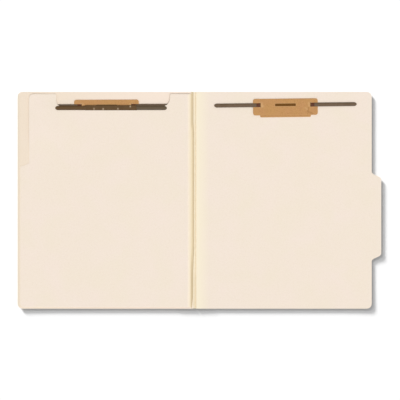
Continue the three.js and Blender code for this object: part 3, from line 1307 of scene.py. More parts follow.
@dataclass(frozen=True)
class Cover:
    """One cover of the folder: a manila board that steps up over the gusset's lap."""

    side: Side
    width: float = 241.3
    height: float = 298.45
    thickness: float = 0.46
    corner_radius: float = 8.0
    gutter: float = 4.8
    tab_depth: float = 13.1
    tab_top: float = 109.6
    tab_length: float = 124.0
    tab_shoulder: float = 11.2
    step_height: float = 0.26
    step: Ease = Ease(24.9, 2.5)
    curl: float = 0.7
    curl_bottom_from: float = 55.0
    curl_outer_from: float = 165.0
    spine_lift: float = 0.3
    spine_lift_run: float = 9.0

    @property
    def name(self) -> str:
        """The cover's name."""
        return f"{self.side.label}_cover"

    def from_gutter(self, x: Array) -> Array:
        """Turns places across the folder into distances from the gutter's middle."""
        return (x - GUTTER_X) * self.side.value

    def underside(self, x: Array, y: Array) -> Array:
        """Gives the height of the board's underside at plan points.

        Args:
            x: Places across the folder.
            y: Places up the pages.

        Returns:
            The heights.
        """
        u = self.from_gutter(x)
        half = self.height / 2
        step = self.step_height * (1 - self.step.at(u))
        spine = np.clip(1 - (u - self.gutter / 2) / self.spine_lift_run, 0, 1) ** 2
        outer_run = self.gutter / 2 + self.width - self.curl_outer_from
        outer = np.clip((u - self.curl_outer_from) / outer_run, 0, 1.2) ** 2
        bottom = np.clip((-y - self.curl_bottom_from) / (half - self.curl_bottom_from), 0, 1) ** 2
        wave = Cockle(seed=11 + self.side.value).height(x, y) * np.hypot(outer, bottom)
        return step + self.spine_lift * spine + self.curl * np.hypot(outer, bottom) + wave

    def outline(self) -> Outline:
        """Gives the cover's plan outline, with the tab on the back cover's outer edge.

        Returns:
            The outline.
        """
        half = self.height / 2
        spine = self.gutter / 2
        outer = spine + self.width
        if self.side is Side.FRONT:
            left, right = GUTTER_X - outer, GUTTER_X - spine
            return Outline.rounded([
                (left, -half, self.corner_radius),
                (right, -half, 0.0),
                (right, half, 0.0),
                (left, half, self.corner_radius),
            ])
        tip = outer + self.tab_depth
        tab_start = half - self.tab_top
        tab_end = tab_start - self.tab_length
        lower = self.shoulder((outer, tab_end), (tip, tab_end + self.tab_shoulder))
        upper = self.shoulder((tip, tab_start - self.tab_shoulder), (outer, tab_start))
        bottom = [(spine, -half, 0), (outer, -half, self.corner_radius), (outer, 0, 0)]
        top = [(outer, 0, 0), (outer, half, self.corner_radius), (spine, half, 0)]
        ends = [Outline.rounded(corners).points for corners in (bottom, top)]
        every = np.concatenate([ends[0][:-1], lower, upper, ends[1][1:]])
        return Outline(every + [GUTTER_X, 0.0])

    @staticmethod
    def shoulder(
        start: tuple[float, float], end: tuple[float, float], steps: int = 14
    ) -> Array:
        """Draws one of the tab's S-curved shoulders.

        Args:
            start: Its first point.
            end: Its last point.
            steps: How many points it has.

        Returns:
            The points, one a row.
        """
        middle = (start[1] + end[1]) / 2
        held = np.array([start, (start[0], middle), (end[0], middle), end])
        t = np.linspace(0, 1, steps)[:, None]
        weights = [(1 - t) ** 3, 3 * t * (1 - t) ** 2, 3 * t * t * (1 - t), t**3]
        return sum(weight * point for weight, point in zip(weights, held))

    def place(self, plan: Array, height: Array) -> Array:
        """Puts a sheet's points on the board's own curve."""
        base = self.underside(plan[:, 0], plan[:, 1])
        return np.column_stack([plan, base + height])

    def build(self, finishes: Finishes) -> bpy.types.Object:
        """Builds and dresses the board.

        Args:
            finishes: The folder's finishes.

        Returns:
            The board.
        """
        sheet = CutSheet(self.outline(), self.thickness)
        board = sheet.build(self.place).finished(f"{self.name}_board")
        finish = finishes.back_manila if self.side is Side.BACK else finishes.front_manila
        return mount(dress(board, finish, Slot.MANILA, self.name), self.side.body)


@dataclass(frozen=True)
class Gusset:
    """The spunbonded sheet that joins the covers, with its spare width pleated in the gutter.

    Each point of the pleats gives its distance from the gutter's middle, its height, its share of
    the lean and how far it is lifted where the pleats lean most.
    """

    back: Cover
    front: Cover
    thickness: float = 0.15
    lap: float = 21.5
    end_inset: float = 0.3
    glue_thickness: float = 0.05
    glue_margin: float = 1.5
    glue_end: float = 2.5
    glue_gap: float = 0.03
    glue_corner: float = 1.0
    rows: int = 91
    lap_points: int = 14
    lap_turn: float = 0.4
    lap_top: float = 0.3
    on_back_lap: Ease = Ease(1.2, 1.2)
    on_front_lap: Ease = Ease(2.15, 0.3)
    bend_insets: tuple[float, float] = (0.2, 0.4)
    lean: float = 0.95
    lean_below: float = 1.45
    leans_above: Ease = Ease(93.0, 14.0)
    leans_below: Ease = Ease(60.0, 44.0)
    sways: tuple[Wave, Wave] = (Wave(0.06, 23.0), Wave(0.04, 9.0, 1.0))
    heave: Wave = Wave(0.05, 31.0, 2.0)
    pleat_floor: float = 0.1
    # Painted shade: the strength and places of the shade painted into the pleats' valley, crevice,
    # core and ridge follow.
    crease_shade: float = 0.8
    valley_near: Ease = Ease(0.6, 0.4)
    valley_far: Ease = Ease(-4.2, 0.4)
    crevice: Hump = Hump(1.25, 0.3, 0.55)
    core: Hump = Hump(-1.3, 0.55, 0.65)
    core_top: float = 1.3
    ridge: Hump = Hump(0.5, 0.5, 0.35)
    ridge_floor: float = 1.0
    ridge_below: Ease = Ease(92.0, 20.0)
    open_fold: Hump = Hump(-1.4, 0.5, 0.22)
    pleats: tuple[tuple[float, float, float, float], ...] = (
        (1.7, 0.28, 0.0, 0.0),
        (1.35, 0.12, 0.0, 0.0),
        (1.12, 0.4, 0.0, 0.0),
        (0.98, 1.0, 0.3, 0.0),
        (0.72, 1.48, 0.7, 0.0),
        (0.25, 1.72, 1.0, 0.0),
        (-0.35, 1.72, 1.0, 0.0),
        (-0.85, 1.48, 1.0, 0.0),
        (-1.05, 1.05, 1.0, 0.3),
        (-0.95, 0.6, 1.0, 0.68),
        (-0.85, 0.2, 1.0, 1.02),
        (-1.2, 0.14, 1.0, 1.08),
        (-1.45, 0.62, 1.0, 0.68),
        (-1.9, 0.98, 1.0, 0.4),
        (-2.6, 1.25, 1.0, 0.2),
        (-3.3, 1.45, 1.0, 0.08),
        (-4.0, 1.62, 0.6, 0.0),
        (-4.3, 1.45, 0.3, 0.0),
        (-3.9, 1.18, 0.3, 0.0),
        (-3.0, 1.02, 0.2, 0.0),
        (-2.45, 0.98, 0.0, 0.0),
        (-2.2, 0.7, 0.0, 0.0),
        (-2.2, 0.2, 0.0, 0.0),
    )

    def lap_height(self, cover: Cover, x: Array, y: Array) -> Array:
        """Gives the height of the lap's middle under a cover."""
        drop = self.glue_thickness + 2 * self.glue_gap + self.thickness / 2
        return cover.underside(x, y) - drop

    def leaning(self, y: Array) -> Array:
        """Tells how far the pleats lean towards the front cover, most at their two ends."""
        return self.lean * self.leans_above.at(y) + self.lean_below * self.leans_below.at(-y)

    def wear(self, u: Array, rise: Array, y: Array) -> Array:
        """Tells how much painted shade the pleats get, up to 1 in a crease and more in its depth.

        Args:
            u: Distances from the gutter's middle.
            rise: Heights of the pleats' path.
            y: Places up the pages.

        Returns:
            The dullness at each point of the grid.
        """
        leaning = self.leaning(y) / self.lean
        pleated = rise > self.pleat_floor
        valley = self.valley_near.at(-u) * self.valley_far.at(u) * pleated
        creased = self.crease_shade * np.clip(valley + self.crevice.at(u), 0, 1)
        core = self.core.at(u) * leaning * pleated * (rise < self.core_top)
        ridge = self.ridge.at(u) * self.ridge_below.at(-y) * (rise > self.ridge_floor)
        opened = self.open_fold.at(u) * (1 - np.clip(leaning, 0, 1)) * pleated
        return creased + core + ridge - opened

    def build_sheet(self, finishes: Finishes) -> bpy.types.Object:
        """Builds the pleated sheet, from under the back cover to under the front cover.

        Args:
            finishes: The folder's finishes.

        Returns:
            The sheet.
        """
        spine = self.back.gutter / 2
        laps = np.linspace(spine + self.lap, spine + self.lap_turn, self.lap_points)
        under = [(u, 0.0, 0.0, 0.0) for u in laps]
        beyond = [(-u, 0.0, 0.0, 0.0) for u in laps[::-1]]
        path = softened([*under, *self.pleats, *beyond], 2)
        u, rise, leans, lifts = path.T[:, None, :]
        half = self.back.height / 2 - self.end_inset
        y = np.linspace(-half, half, self.rows)[:, None]
        x = u + GUTTER_X
        on_front = self.on_front_lap.at(-u) * (rise < self.lap_top)
        share = np.where(u > 0, self.on_back_lap.at(u), on_front)
        heights = [self.lap_height(cover, x, y) for cover in (self.back, self.front)]
        z = rise * (1 - share) + np.where(u > 0, *heights) * share
        z = np.maximum(z, self.thickness / 2)
        loose = (1 - share) * np.clip(rise, 0, 1)
        leaning = self.leaning(y)
        x = x + sum(wave.at(y) for wave in self.sways) * loose - leaning * leans
        z = z + self.heave.at(y) * loose + leaning / self.lean_below * lifts
        across = lengths_along(path[:, :2])
        strip = FormedStrip(grid_of(x, y, z), across, y, self.thickness)
        sheet = strip.build(self.wear(u, rise, y)).finished("spine_gusset", CLOTH_SHARP_DEGREES)
        dress(sheet, finishes.spunbonded, Slot.GUSSET, "back_gusset", "front_gusset")
        start = Vector((GUTTER_X + spine - self.bend_insets[0], 0, 0)) * MM
        end = Vector((GUTTER_X - spine + self.bend_insets[1], 0, 0)) * MM
        bend(sheet, Body.BACK, Body.FRONT, start, end)
        return sheet

    def build_glue(self, cover: Cover, finishes: Finishes) -> bpy.types.Object:
        """Builds the film that holds the lap just under one cover.

        Args:
            cover: The cover.
            finishes: The folder's finishes.

        Returns:
            The film.
        """
        near = cover.gutter / 2 + self.glue_margin
        far = cover.gutter / 2 + self.lap - self.glue_margin
        left, right = sorted(GUTTER_X + cover.side.value * u for u in (near, far))
        end = cover.height / 2 - self.glue_end
        layer = GlueLayer(
            name=f"{cover.side.label}_lap_glue",
            node=f"{cover.side.label}_gusset_glue",
            body=cover.side.body,
            outline=Outline.rectangle(left, -end, right, end, self.glue_corner),
            thickness=self.glue_thickness,
        )
        drop = self.glue_thickness + self.glue_gap
        return layer.build(lambda plan, height: cover.place(plan, height - drop), finishes)

    def build(self, finishes: Finishes) -> bpy.types.Object:
        """Builds the sheet and its two films of glue.

        Args:
            finishes: The folder's finishes.

        Returns:
            The sheet.
        """
        sheet = self.build_sheet(finishes)
        for cover in (self.back, self.front):
            self.build_glue(cover, finishes)
        return sheet


@dataclass(frozen=True)
class Prong:
    """A soft metal prong: a shallow dome of strip with a round tip, bent up from its hole."""

    name: str
    node: str
    root: float
    side: int
    length: float
    height: float
    width: float = 5.2
    thickness: float = 0.28
    edge_share: float = 0.6
    crown: float = 0.3
    crown_run: float = 3.0
    tail: float = 0.7
    turn_drop: float = 0.3
    turn_in: float = 0.1
    turn_run: float = 0.9
    tip: float = 3.8
    tip_degrees: float = 84.0
    rise: float = 0.0
    # A bare pale band at the bend, partly a painted highlight.
    rub_and_glint: Hump = Hump(0.4, 0.5, 0.15)
    hang_from: tuple[float, float] = (0.0, -0.5)
    hang_to: tuple[float, float] = (1.4, 0.2)
    rows: int = 44
    columns: int = 11

    def build(self, transform: Matrix, finish: bpy.types.Material) -> bpy.types.Object:
        """Builds and dresses the prong.

        Args:
            transform: Moves the prong from its fastener's place to the folder's, in millimetres.
            finish: The prong's lacquer.

        Returns:
            The prong, not yet on a body.
        """
        half = self.width / 2
        straight = self.length - self.tip
        corners = [
            (0.0, -abs(self.tail)),
            (0.0, -self.turn_drop),
            (self.turn_in, 0.0),
            (self.turn_run, 0.0),
        ]
        bent = softened(corners, 2)
        spread = np.linspace(self.turn_run, straight, self.rows // 2)[1:]
        angles = np.linspace(0, 1, self.rows // 3)[1:] * math.radians(self.tip_degrees)
        run = np.concatenate([bent[:, 0], spread, straight + self.tip * np.sin(angles)])
        drop = np.concatenate([bent[:, 1], np.zeros(len(spread) + len(angles))])
        drop *= math.copysign(1.0, self.tail)
        reach = np.concatenate([np.ones(len(bent) + len(spread)), np.cos(angles)])
        v = np.sin(np.linspace(-1, 1, self.columns) * math.pi / 2)
        dome = self.crown * np.outer(reach * np.clip(run / self.crown_run, 0, 1), 1 - v**2)
        x = (self.root + self.side * run)[:, None]
        y = np.outer(reach, v) * half + self.rise
        middle = grid_of(x, y, self.height + drop[:, None] + dome)
        if self.side > 0:
            middle = middle[:, ::-1]
        along = lengths_along(np.column_stack([run, drop]))[:, None]
        strip = FormedStrip(middle, half * v, along, self.thickness, self.edge_share)
        moulding = strip.build(np.outer(self.rub_and_glint.at(run), 1 - np.abs(v)))
        edge = np.minimum(half * (1 - np.abs(v)), self.length + 1 - along)
        moulding.from_edge = np.tile(np.abs(edge).reshape(-1), 2)
        moulding.points = moved(moulding.points, transform)
        made = moulding.finished(self.name, STRIP_SHARP_DEGREES)
        return dress(made, finish, Slot.METAL, self.node)

    def hang(
        self, made: bpy.types.Object, transform: Matrix, holder: Body, own: Body | None
    ) -> None:
        """Joins the prong to its fastener rigidly, or, where it has its own body, only reports a
        bend at its root.

        Args:
            made: The prong.
            transform: Moves the fastener's own places to the folder's, in millimetres.
            holder: The fastener's body.
            own: The prong's own body, where it has one.
        """
        if own is None:
            mount(made, holder)
            return
        start, end = (
            transform @ Vector((self.root + self.side * run, 0.0, self.height + rise)) * MM
            for run, rise in (self.hang_from, self.hang_to)
        )
        bend(made, holder, own, start, end)


@dataclass(frozen=True)
class BondedFastener:
    """A two-prong fastener in a folded kraft carrier that is stuck inside a cover."""

    side: Side
    x: float
    y: float
    turn: float
    left_body: Body | None = None
    right_body: Body | None = None
    board_top: float = 0.46
    hole_spacing: float = 69.85
    prong_length: float = 63.0
    prong_width: float = 5.2
    metal: float = 0.35
    paper: float = 0.28
    carrier_width: float = 89.0
    upper_height: float = 8.5
    lower_height: float = 14.2
    corner_radius: float = 3.6
    corner_gap: float = 0.05
    lip_width: float = 70.0
    lip_drop: float = 2.75
    lip_radius: float = 2.0
    window_length: float = 28.5
    window_height: float = 3.6
    window_radius: float = 1.0
    hole_margin: float = 0.6
    pad_inset: float = 2.0
    pad_corner: float = 1.0
    pad_height: float = 0.03
    pad_thickness: float = 0.08
    lower_leaf: float = 0.14
    strip_height: float = 0.47
    upper_leaf: float = 0.87
    prong_height: float = 1.375
    prong_drop: float = 0.04
    prong_rise: float = -0.15
    strip_top_drop: float = 0.62
    strip_turn: float = 1.2
    strip_columns: int = 7
    fold_rows: int = 7
    drawn_share: float = 0.9
    rim_share: float = 0.7
    lip_gap: float = 0.3
    hole_radius: float = 0.3
    hole_lift: tuple[Hump, Hump] = (Hump(0.0, 3.0), Hump(0.0, 4.5, 0.1))
    belly: tuple[Wave, Wave] = (Wave(0.05, 9.0, 1.2), Wave(1.0, 5.0))
    dent: float = 0.12
    slot_rub: Hump = Hump(-2.6, 1.1, 0.55)
    hole_rub: Hump = Hump(0.0, 2.0, 0.2)
    rub_reach: float = 4.5
    pale_spot_strength: float = 0.75
    # Pale spots; the first two paint the lit inner side of the crease as a highlight.
    pale_spots: tuple[tuple[float, float, float], ...] = (
        (29.6, -6.2, 1.3),
        (27.6, -4.6, 0.9),
        (-30.9, -1.6, 1.3),
    )
    crimp: Hump = Hump(0.0, 0.7, 0.8)
    # Each crimp dents the leaf and paints the dent's shade dark.
    crimps: tuple[tuple[float, float, float, float], ...] = (
        (32.0, -3.4, 30.6, -9.4),
        (30.6, -9.4, 37.0, -12.2),
    )

    def transform(self) -> Matrix:
        """Moves the fastener's own places to the folder's, in millimetres."""
        place = Matrix.Translation((self.x, self.y, self.board_top))
        return place @ Matrix.Rotation(math.radians(self.turn), 4, "Z")

    def folded(self, plan: Array, height: Array) -> Array:
        """Folds the flat carrier at its top edge.

        Args:
            plan: Places on the flat sheet, with the upper leaf in place and the rest above it.
            height: Heights above the sheet's underside.

        Returns:
            Places in the folder, in millimetres.
        """
        x, level = plan.T
        lower = self.lower_leaf + self.paper / 2
        radius = (self.upper_leaf - self.lower_leaf) / 2
        crease = self.bends()[0]
        past = level - crease
        on_leaf = (past < 0) | (np.abs(x) > self.lip_width / 2 + self.lip_gap)
        angle = np.where(on_leaf, 0.0, np.clip(past / radius, 0, math.pi))
        over = np.clip(past - math.pi * radius, 0, None)
        rise = height - self.paper / 2
        y = np.where(on_leaf, level, crease + radius * np.sin(angle) - over) + rise * np.sin(angle)
        z = lower + radius + (radius + rise) * np.cos(angle)
        beside, along = self.hole_lift
        lifted = beside.at(np.abs(x) - self.hole_spacing / 2) * along.at(level)
        bellied = self.belly[0].at(x) * self.belly[1].at(level)
        dented = self.dent * np.clip(-self.marks_and_crease_shading(plan), 0, 1)
        z = z + np.where(on_leaf & (past < 0), lifted + bellied - dented, 0.0)
        return moved(np.column_stack([x, y, z]), self.transform())

    def bends(self) -> Array:
        """Gives the rows of the flat sheet at which the carrier's fold turns.

        Returns:
            The rows, from the upper leaf to the lower one.
        """
        radius = (self.upper_leaf - self.lower_leaf) / 2
        crease = self.upper_height - radius - self.paper / 2
        return crease + radius * np.linspace(0.0, math.pi, self.fold_rows)

    def marks_and_crease_shading(self, plan: Array) -> Array:
        """Tells where the upper leaf is painted pale, above 0, and where dark, below 0: pale
        spots, with a painted highlight on a crease's lit side and painted shade along its crimp.

        Args:
            plan: Places on the flat sheet.

        Returns:
            Each place's mark.
        """
        marks = np.zeros(len(plan))
        for x, y, reach in self.pale_spots:
            away = np.linalg.norm(plan - (x, y), axis=1)
            marks += Hump(0.0, reach, self.pale_spot_strength).at(away)
        for x0, y0, x1, y1 in self.crimps:
            along = np.array([x1 - x0, y1 - y0])
            share = np.clip(((plan - (x0, y0)) @ along) / (along @ along), 0, 1)
            away = np.linalg.norm(plan - (x0, y0) - share[:, None] * along, axis=1)
            marks -= self.crimp.at(away)
        return marks

    def flat_carrier(self) -> CutSheet:
        """Gives the carrier as it is cut, before it is folded over at its top edge.

        Returns:
            The flat sheet.
        """
        half, lip = self.carrier_width / 2, self.lip_width / 2
        bends = self.bends()
        far = bends[-1] + bends[0] + self.lower_height + self.lip_drop
        turns = [self.upper_height, *(y for y in bends if y > self.upper_height + self.corner_gap)]
        corners = [
            (-half, -self.lower_height, self.corner_radius),
            (half, -self.lower_height, self.corner_radius),
            (half, self.upper_height, self.corner_radius),
            *((lip, y, 0.0) for y in turns),
            (lip, far, self.lip_radius),
            (-lip, far, self.lip_radius),
            *((-lip, y, 0.0) for y in reversed(turns)),
            (-half, self.upper_height, self.corner_radius),
        ]
        hole_width = self.metal + 2 * self.hole_margin
        hole_height = self.prong_width + 2 * self.hole_margin
        openings = [
            Outline.opening(x, hole_width, hole_height, self.hole_radius)
            for x in (-self.hole_spacing / 2, self.hole_spacing / 2)
        ]
        window = Outline.opening(0.0, self.window_length, self.window_height, self.window_radius)
        return CutSheet(
            Outline.rounded(corners),
            self.paper,
            openings=(*openings, window),
            edge_radius=0.06,
            spacing=1.3,
            edge_spacing=1.2,
            margin=0.4,
            bends=tuple(bends),
        )

    def build_carrier(self, finishes: Finishes) -> bpy.types.Object:
        """Builds the folded carrier with its two holes and its window.

        Args:
            finishes: The folder's finishes.

        Returns:
            The carrier.
        """
        moulding = self.flat_carrier().build(self.folded)
        plan = moulding.flat
        beside = np.abs(plan[:, 0]) - self.hole_spacing / 2
        level = np.abs(plan[:, 1])
        by_slot = level < self.prong_width / 2 + self.hole_margin
        rub_and_highlight = self.slot_rub.at(beside) * by_slot + self.hole_rub.at(beside)
        rub_and_highlight *= level < self.rub_reach
        # The crease marks add painted light and shade to the pale marks by the slots and holes.
        moulding.wear_and_shade = np.clip(rub_and_highlight + self.marks_and_crease_shading(plan), -1, 1)
        made = moulding.finished(f"{self.side.label}_carrier", STRIP_SHARP_DEGREES)
        dress(made, finishes.kraft, Slot.KRAFT, f"{self.side.label}_fastener_carrier")
        return mount(made, self.side.body)

    def build_strip(self, finishes: Finishes) -> bpy.types.Object:
        """Builds the strip inside the carrier, with its ends turned up towards the holes.

        Args:
            finishes: The folder's finishes.

        Returns:
            The strip.
        """
        half = self.hole_spacing / 2
        low = self.strip_height + self.metal / 2
        top = self.prong_height - self.strip_top_drop
        end = [(half - self.strip_turn, low), (half, low), (half, top)]
        profile = softened([*((-x, z) for x, z in reversed(end)), (0.0, low), *end], 2)
        x, z = profile.T[:, :, None]
        y = np.linspace(-1, 1, self.strip_columns) * self.prong_width / 2
        middle = grid_of(x, y, z)[:, ::-1]
        along = lengths_along(profile)[:, None]
        strip = FormedStrip(middle, y, along, self.metal * self.drawn_share, self.rim_share)
        moulding = strip.build()
        moulding.points = moved(moulding.points, self.transform())
        made = moulding.finished(f"{self.side.label}_strip", STRIP_SHARP_DEGREES)
        dress(made, finishes.strip_lacquer, Slot.METAL, f"{self.side.label}_base_strip")
        return mount(made, self.side.body)

    def build_pad(self, finishes: Finishes) -> bpy.types.Object:
        """Builds the adhesive pad under the carrier.

        Args:
            finishes: The folder's finishes.

        Returns:
            The pad.
        """
        half = self.lip_width / 2 - self.pad_inset
        bottom = -self.lower_height - self.lip_drop + self.pad_inset
        top = self.upper_height - self.pad_inset
        layer = GlueLayer(
            name=f"{self.side.label}_pad",
            node=f"{self.side.label}_bonding_pad",
            body=self.side.body,
            outline=Outline.rectangle(-half, bottom, half, top, self.pad_corner),
            thickness=self.pad_thickness,
            edge_radius=0.03,
        )

        def place(plan: Array, height: Array) -> Array:
            """Lays the pad on the board."""
            return moved(np.column_stack([plan, height + self.pad_height]), self.transform())

        return layer.build(place, finishes)

    def build(self, finishes: Finishes) -> None:
        """Builds the pad, the carrier, the strip and both prongs.

        Args:
            finishes: The folder's finishes.
        """
        self.build_pad(finishes)
        self.build_carrier(finishes)
        self.build_strip(finishes)
        for label, side, own in (("left", -1, self.left_body), ("right", 1, self.right_body)):
            prong = Prong(
                name=f"{self.side.label}_{label}_prong_blade",
                node=f"{self.side.label}_prong_{label}",
                root=side * self.hole_spacing / 2,
                side=side,
                length=self.prong_length,
                height=self.prong_height - self.prong_drop,
                rise=self.prong_rise,
            )
            made = prong.build(self.transform(), finishes.prong_lacquer)
            prong.hang(made, self.transform(), self.side.body, own)


@dataclass(frozen=True)
class TwinFastener:
    """The fastener over the notch's lower edge: a crimped channel with prongs on both faces."""

    x: float = -121.35
    y: float = 126.355
    board_underside: float = 2.91
    board: float = 0.46
    gap: float = 0.05
    metal: float = 0.3
    length: float = 71.0
    height: float = 7.0
    drop: float = 2.52
    standoff: float = 1.4
    hole_spacing: float = 69.85
    prong_length: float = 41.7
    prong_width: float = 5.6
    prong_rise: float = 0.3
    prong_metal: float = 0.35
    # A bare pale band at each prong's bend, partly a painted highlight.
    prong_rub: Hump = Hump(0.4, 0.5, 0.08)
    prong_tail: float = 0.3
    top_crown: float = 0.3
    under_crown: float = -0.2
    drawn_share: float = 0.9
    rim_share: float = 0.7
    fold_run: float = 0.45
    fold_in: float = 0.1
    fold_turn: float = 0.25
    skin: float = 0.05
    rows: int = 9
    columns: int = 121
    tick_across: Hump = Hump(0.0, 0.8)
    tick_along: Hump = Hump(0.0, 1.3)
    tick_depth: float = 0.12
    ticks: tuple[tuple[float, float], ...] = (
        (-23.5, -1.0),
        (-10.9, -1.0),
        (9.4, -1.0),
        (26.4, 2.4),
    )

    def transform(self) -> Matrix:
        """Moves the fastener's own places to the folder's, in millimetres."""
        return Matrix.Translation((self.x, self.y, self.board_underside))

    def build_channel(self, finishes: Finishes) -> bpy.types.Object:
        """Builds the channel, folded over the board's edge and dimpled where it was crimped.

        Args:
            finishes: The folder's finishes.

        Returns:
            The channel.
        """
        low = -self.gap - self.metal / 2
        high = self.board + self.gap + self.metal / 2
        fold = self.drop + self.gap + self.standoff
        edge = fold + self.metal / 2
        foot = fold + self.metal - self.height
        rows = np.linspace(foot, edge - self.fold_run, self.rows)
        bendings = [
            (edge - self.fold_in, low),
            (edge, low + self.fold_turn),
            (edge, high - self.fold_turn),
            (edge - self.fold_in, high),
        ]
        corners = [*((y, low) for y in rows), *bendings, *((y, high) for y in rows[::-1])]
        profile = softened(corners, 1)
        x = np.linspace(-self.length / 2, self.length / 2, self.columns)
        y, z = profile.T[:, :, None]
        on_top = z > high - self.skin
        wear_and_shade_share = np.zeros((len(profile), len(x)))
        for tick_x, tick_y in self.ticks:
            spot = self.tick_across.at(x - tick_x) * self.tick_along.at(y - tick_y) * on_top
            z = z - self.tick_depth * spot
            wear_and_shade_share = np.maximum(wear_and_shade_share, spot)
        along = lengths_along(profile)[:, None]
        metal = self.metal * self.drawn_share
        moulding = FormedStrip(grid_of(x, y, z), x, along, metal, self.rim_share).build(wear_and_shade_share)
        moulding.flat = moulding.flat[:, ::-1]
        moulding.points = moved(moulding.points, self.transform())
        made = moulding.finished("divider_channel", STRIP_SHARP_DEGREES)
        dress(made, finishes.channel_lacquer, Slot.METAL, "divider_fastener_channel")
        return mount(made, Body.DIVIDER)

    def build(self, finishes: Finishes) -> None:
        """Builds the channel and the four prongs.

        Args:
            finishes: The folder's finishes.
        """
        self.build_channel(finishes)
        above = self.board + 2 * self.gap + self.metal + self.prong_metal / 2
        below = -2 * self.gap - self.metal - self.prong_metal / 2
        sides = (
            ("left", -1, finishes.channel_lacquer, Body.DIVIDER_LEFT_PRONG),
            ("right", 1, finishes.lacquer, Body.DIVIDER_RIGHT_PRONG),
        )
        layers = (
            ("top", above, self.top_crown, self.prong_tail),
            ("under", below, self.under_crown, -self.prong_tail),
        )
        for label, side, finish, own in sides:
            for layer, height, crown, tail in layers:
                prong = Prong(
                    name=f"divider_{layer}_{label}_prong_blade",
                    node=f"divider_{layer}_prong_{label}",
                    root=side * self.hole_spacing / 2,
                    side=side,
                    length=self.prong_length,
                    height=height,
                    width=self.prong_width,
                    crown=crown,
                    tail=tail,
                    rise=self.prong_rise,
                    rub_and_glint=self.prong_rub,
                )
                made = prong.build(self.transform(), finish)
                held = own if layer == "top" else None
                prong.hang(made, self.transform(), Body.DIVIDER, held)


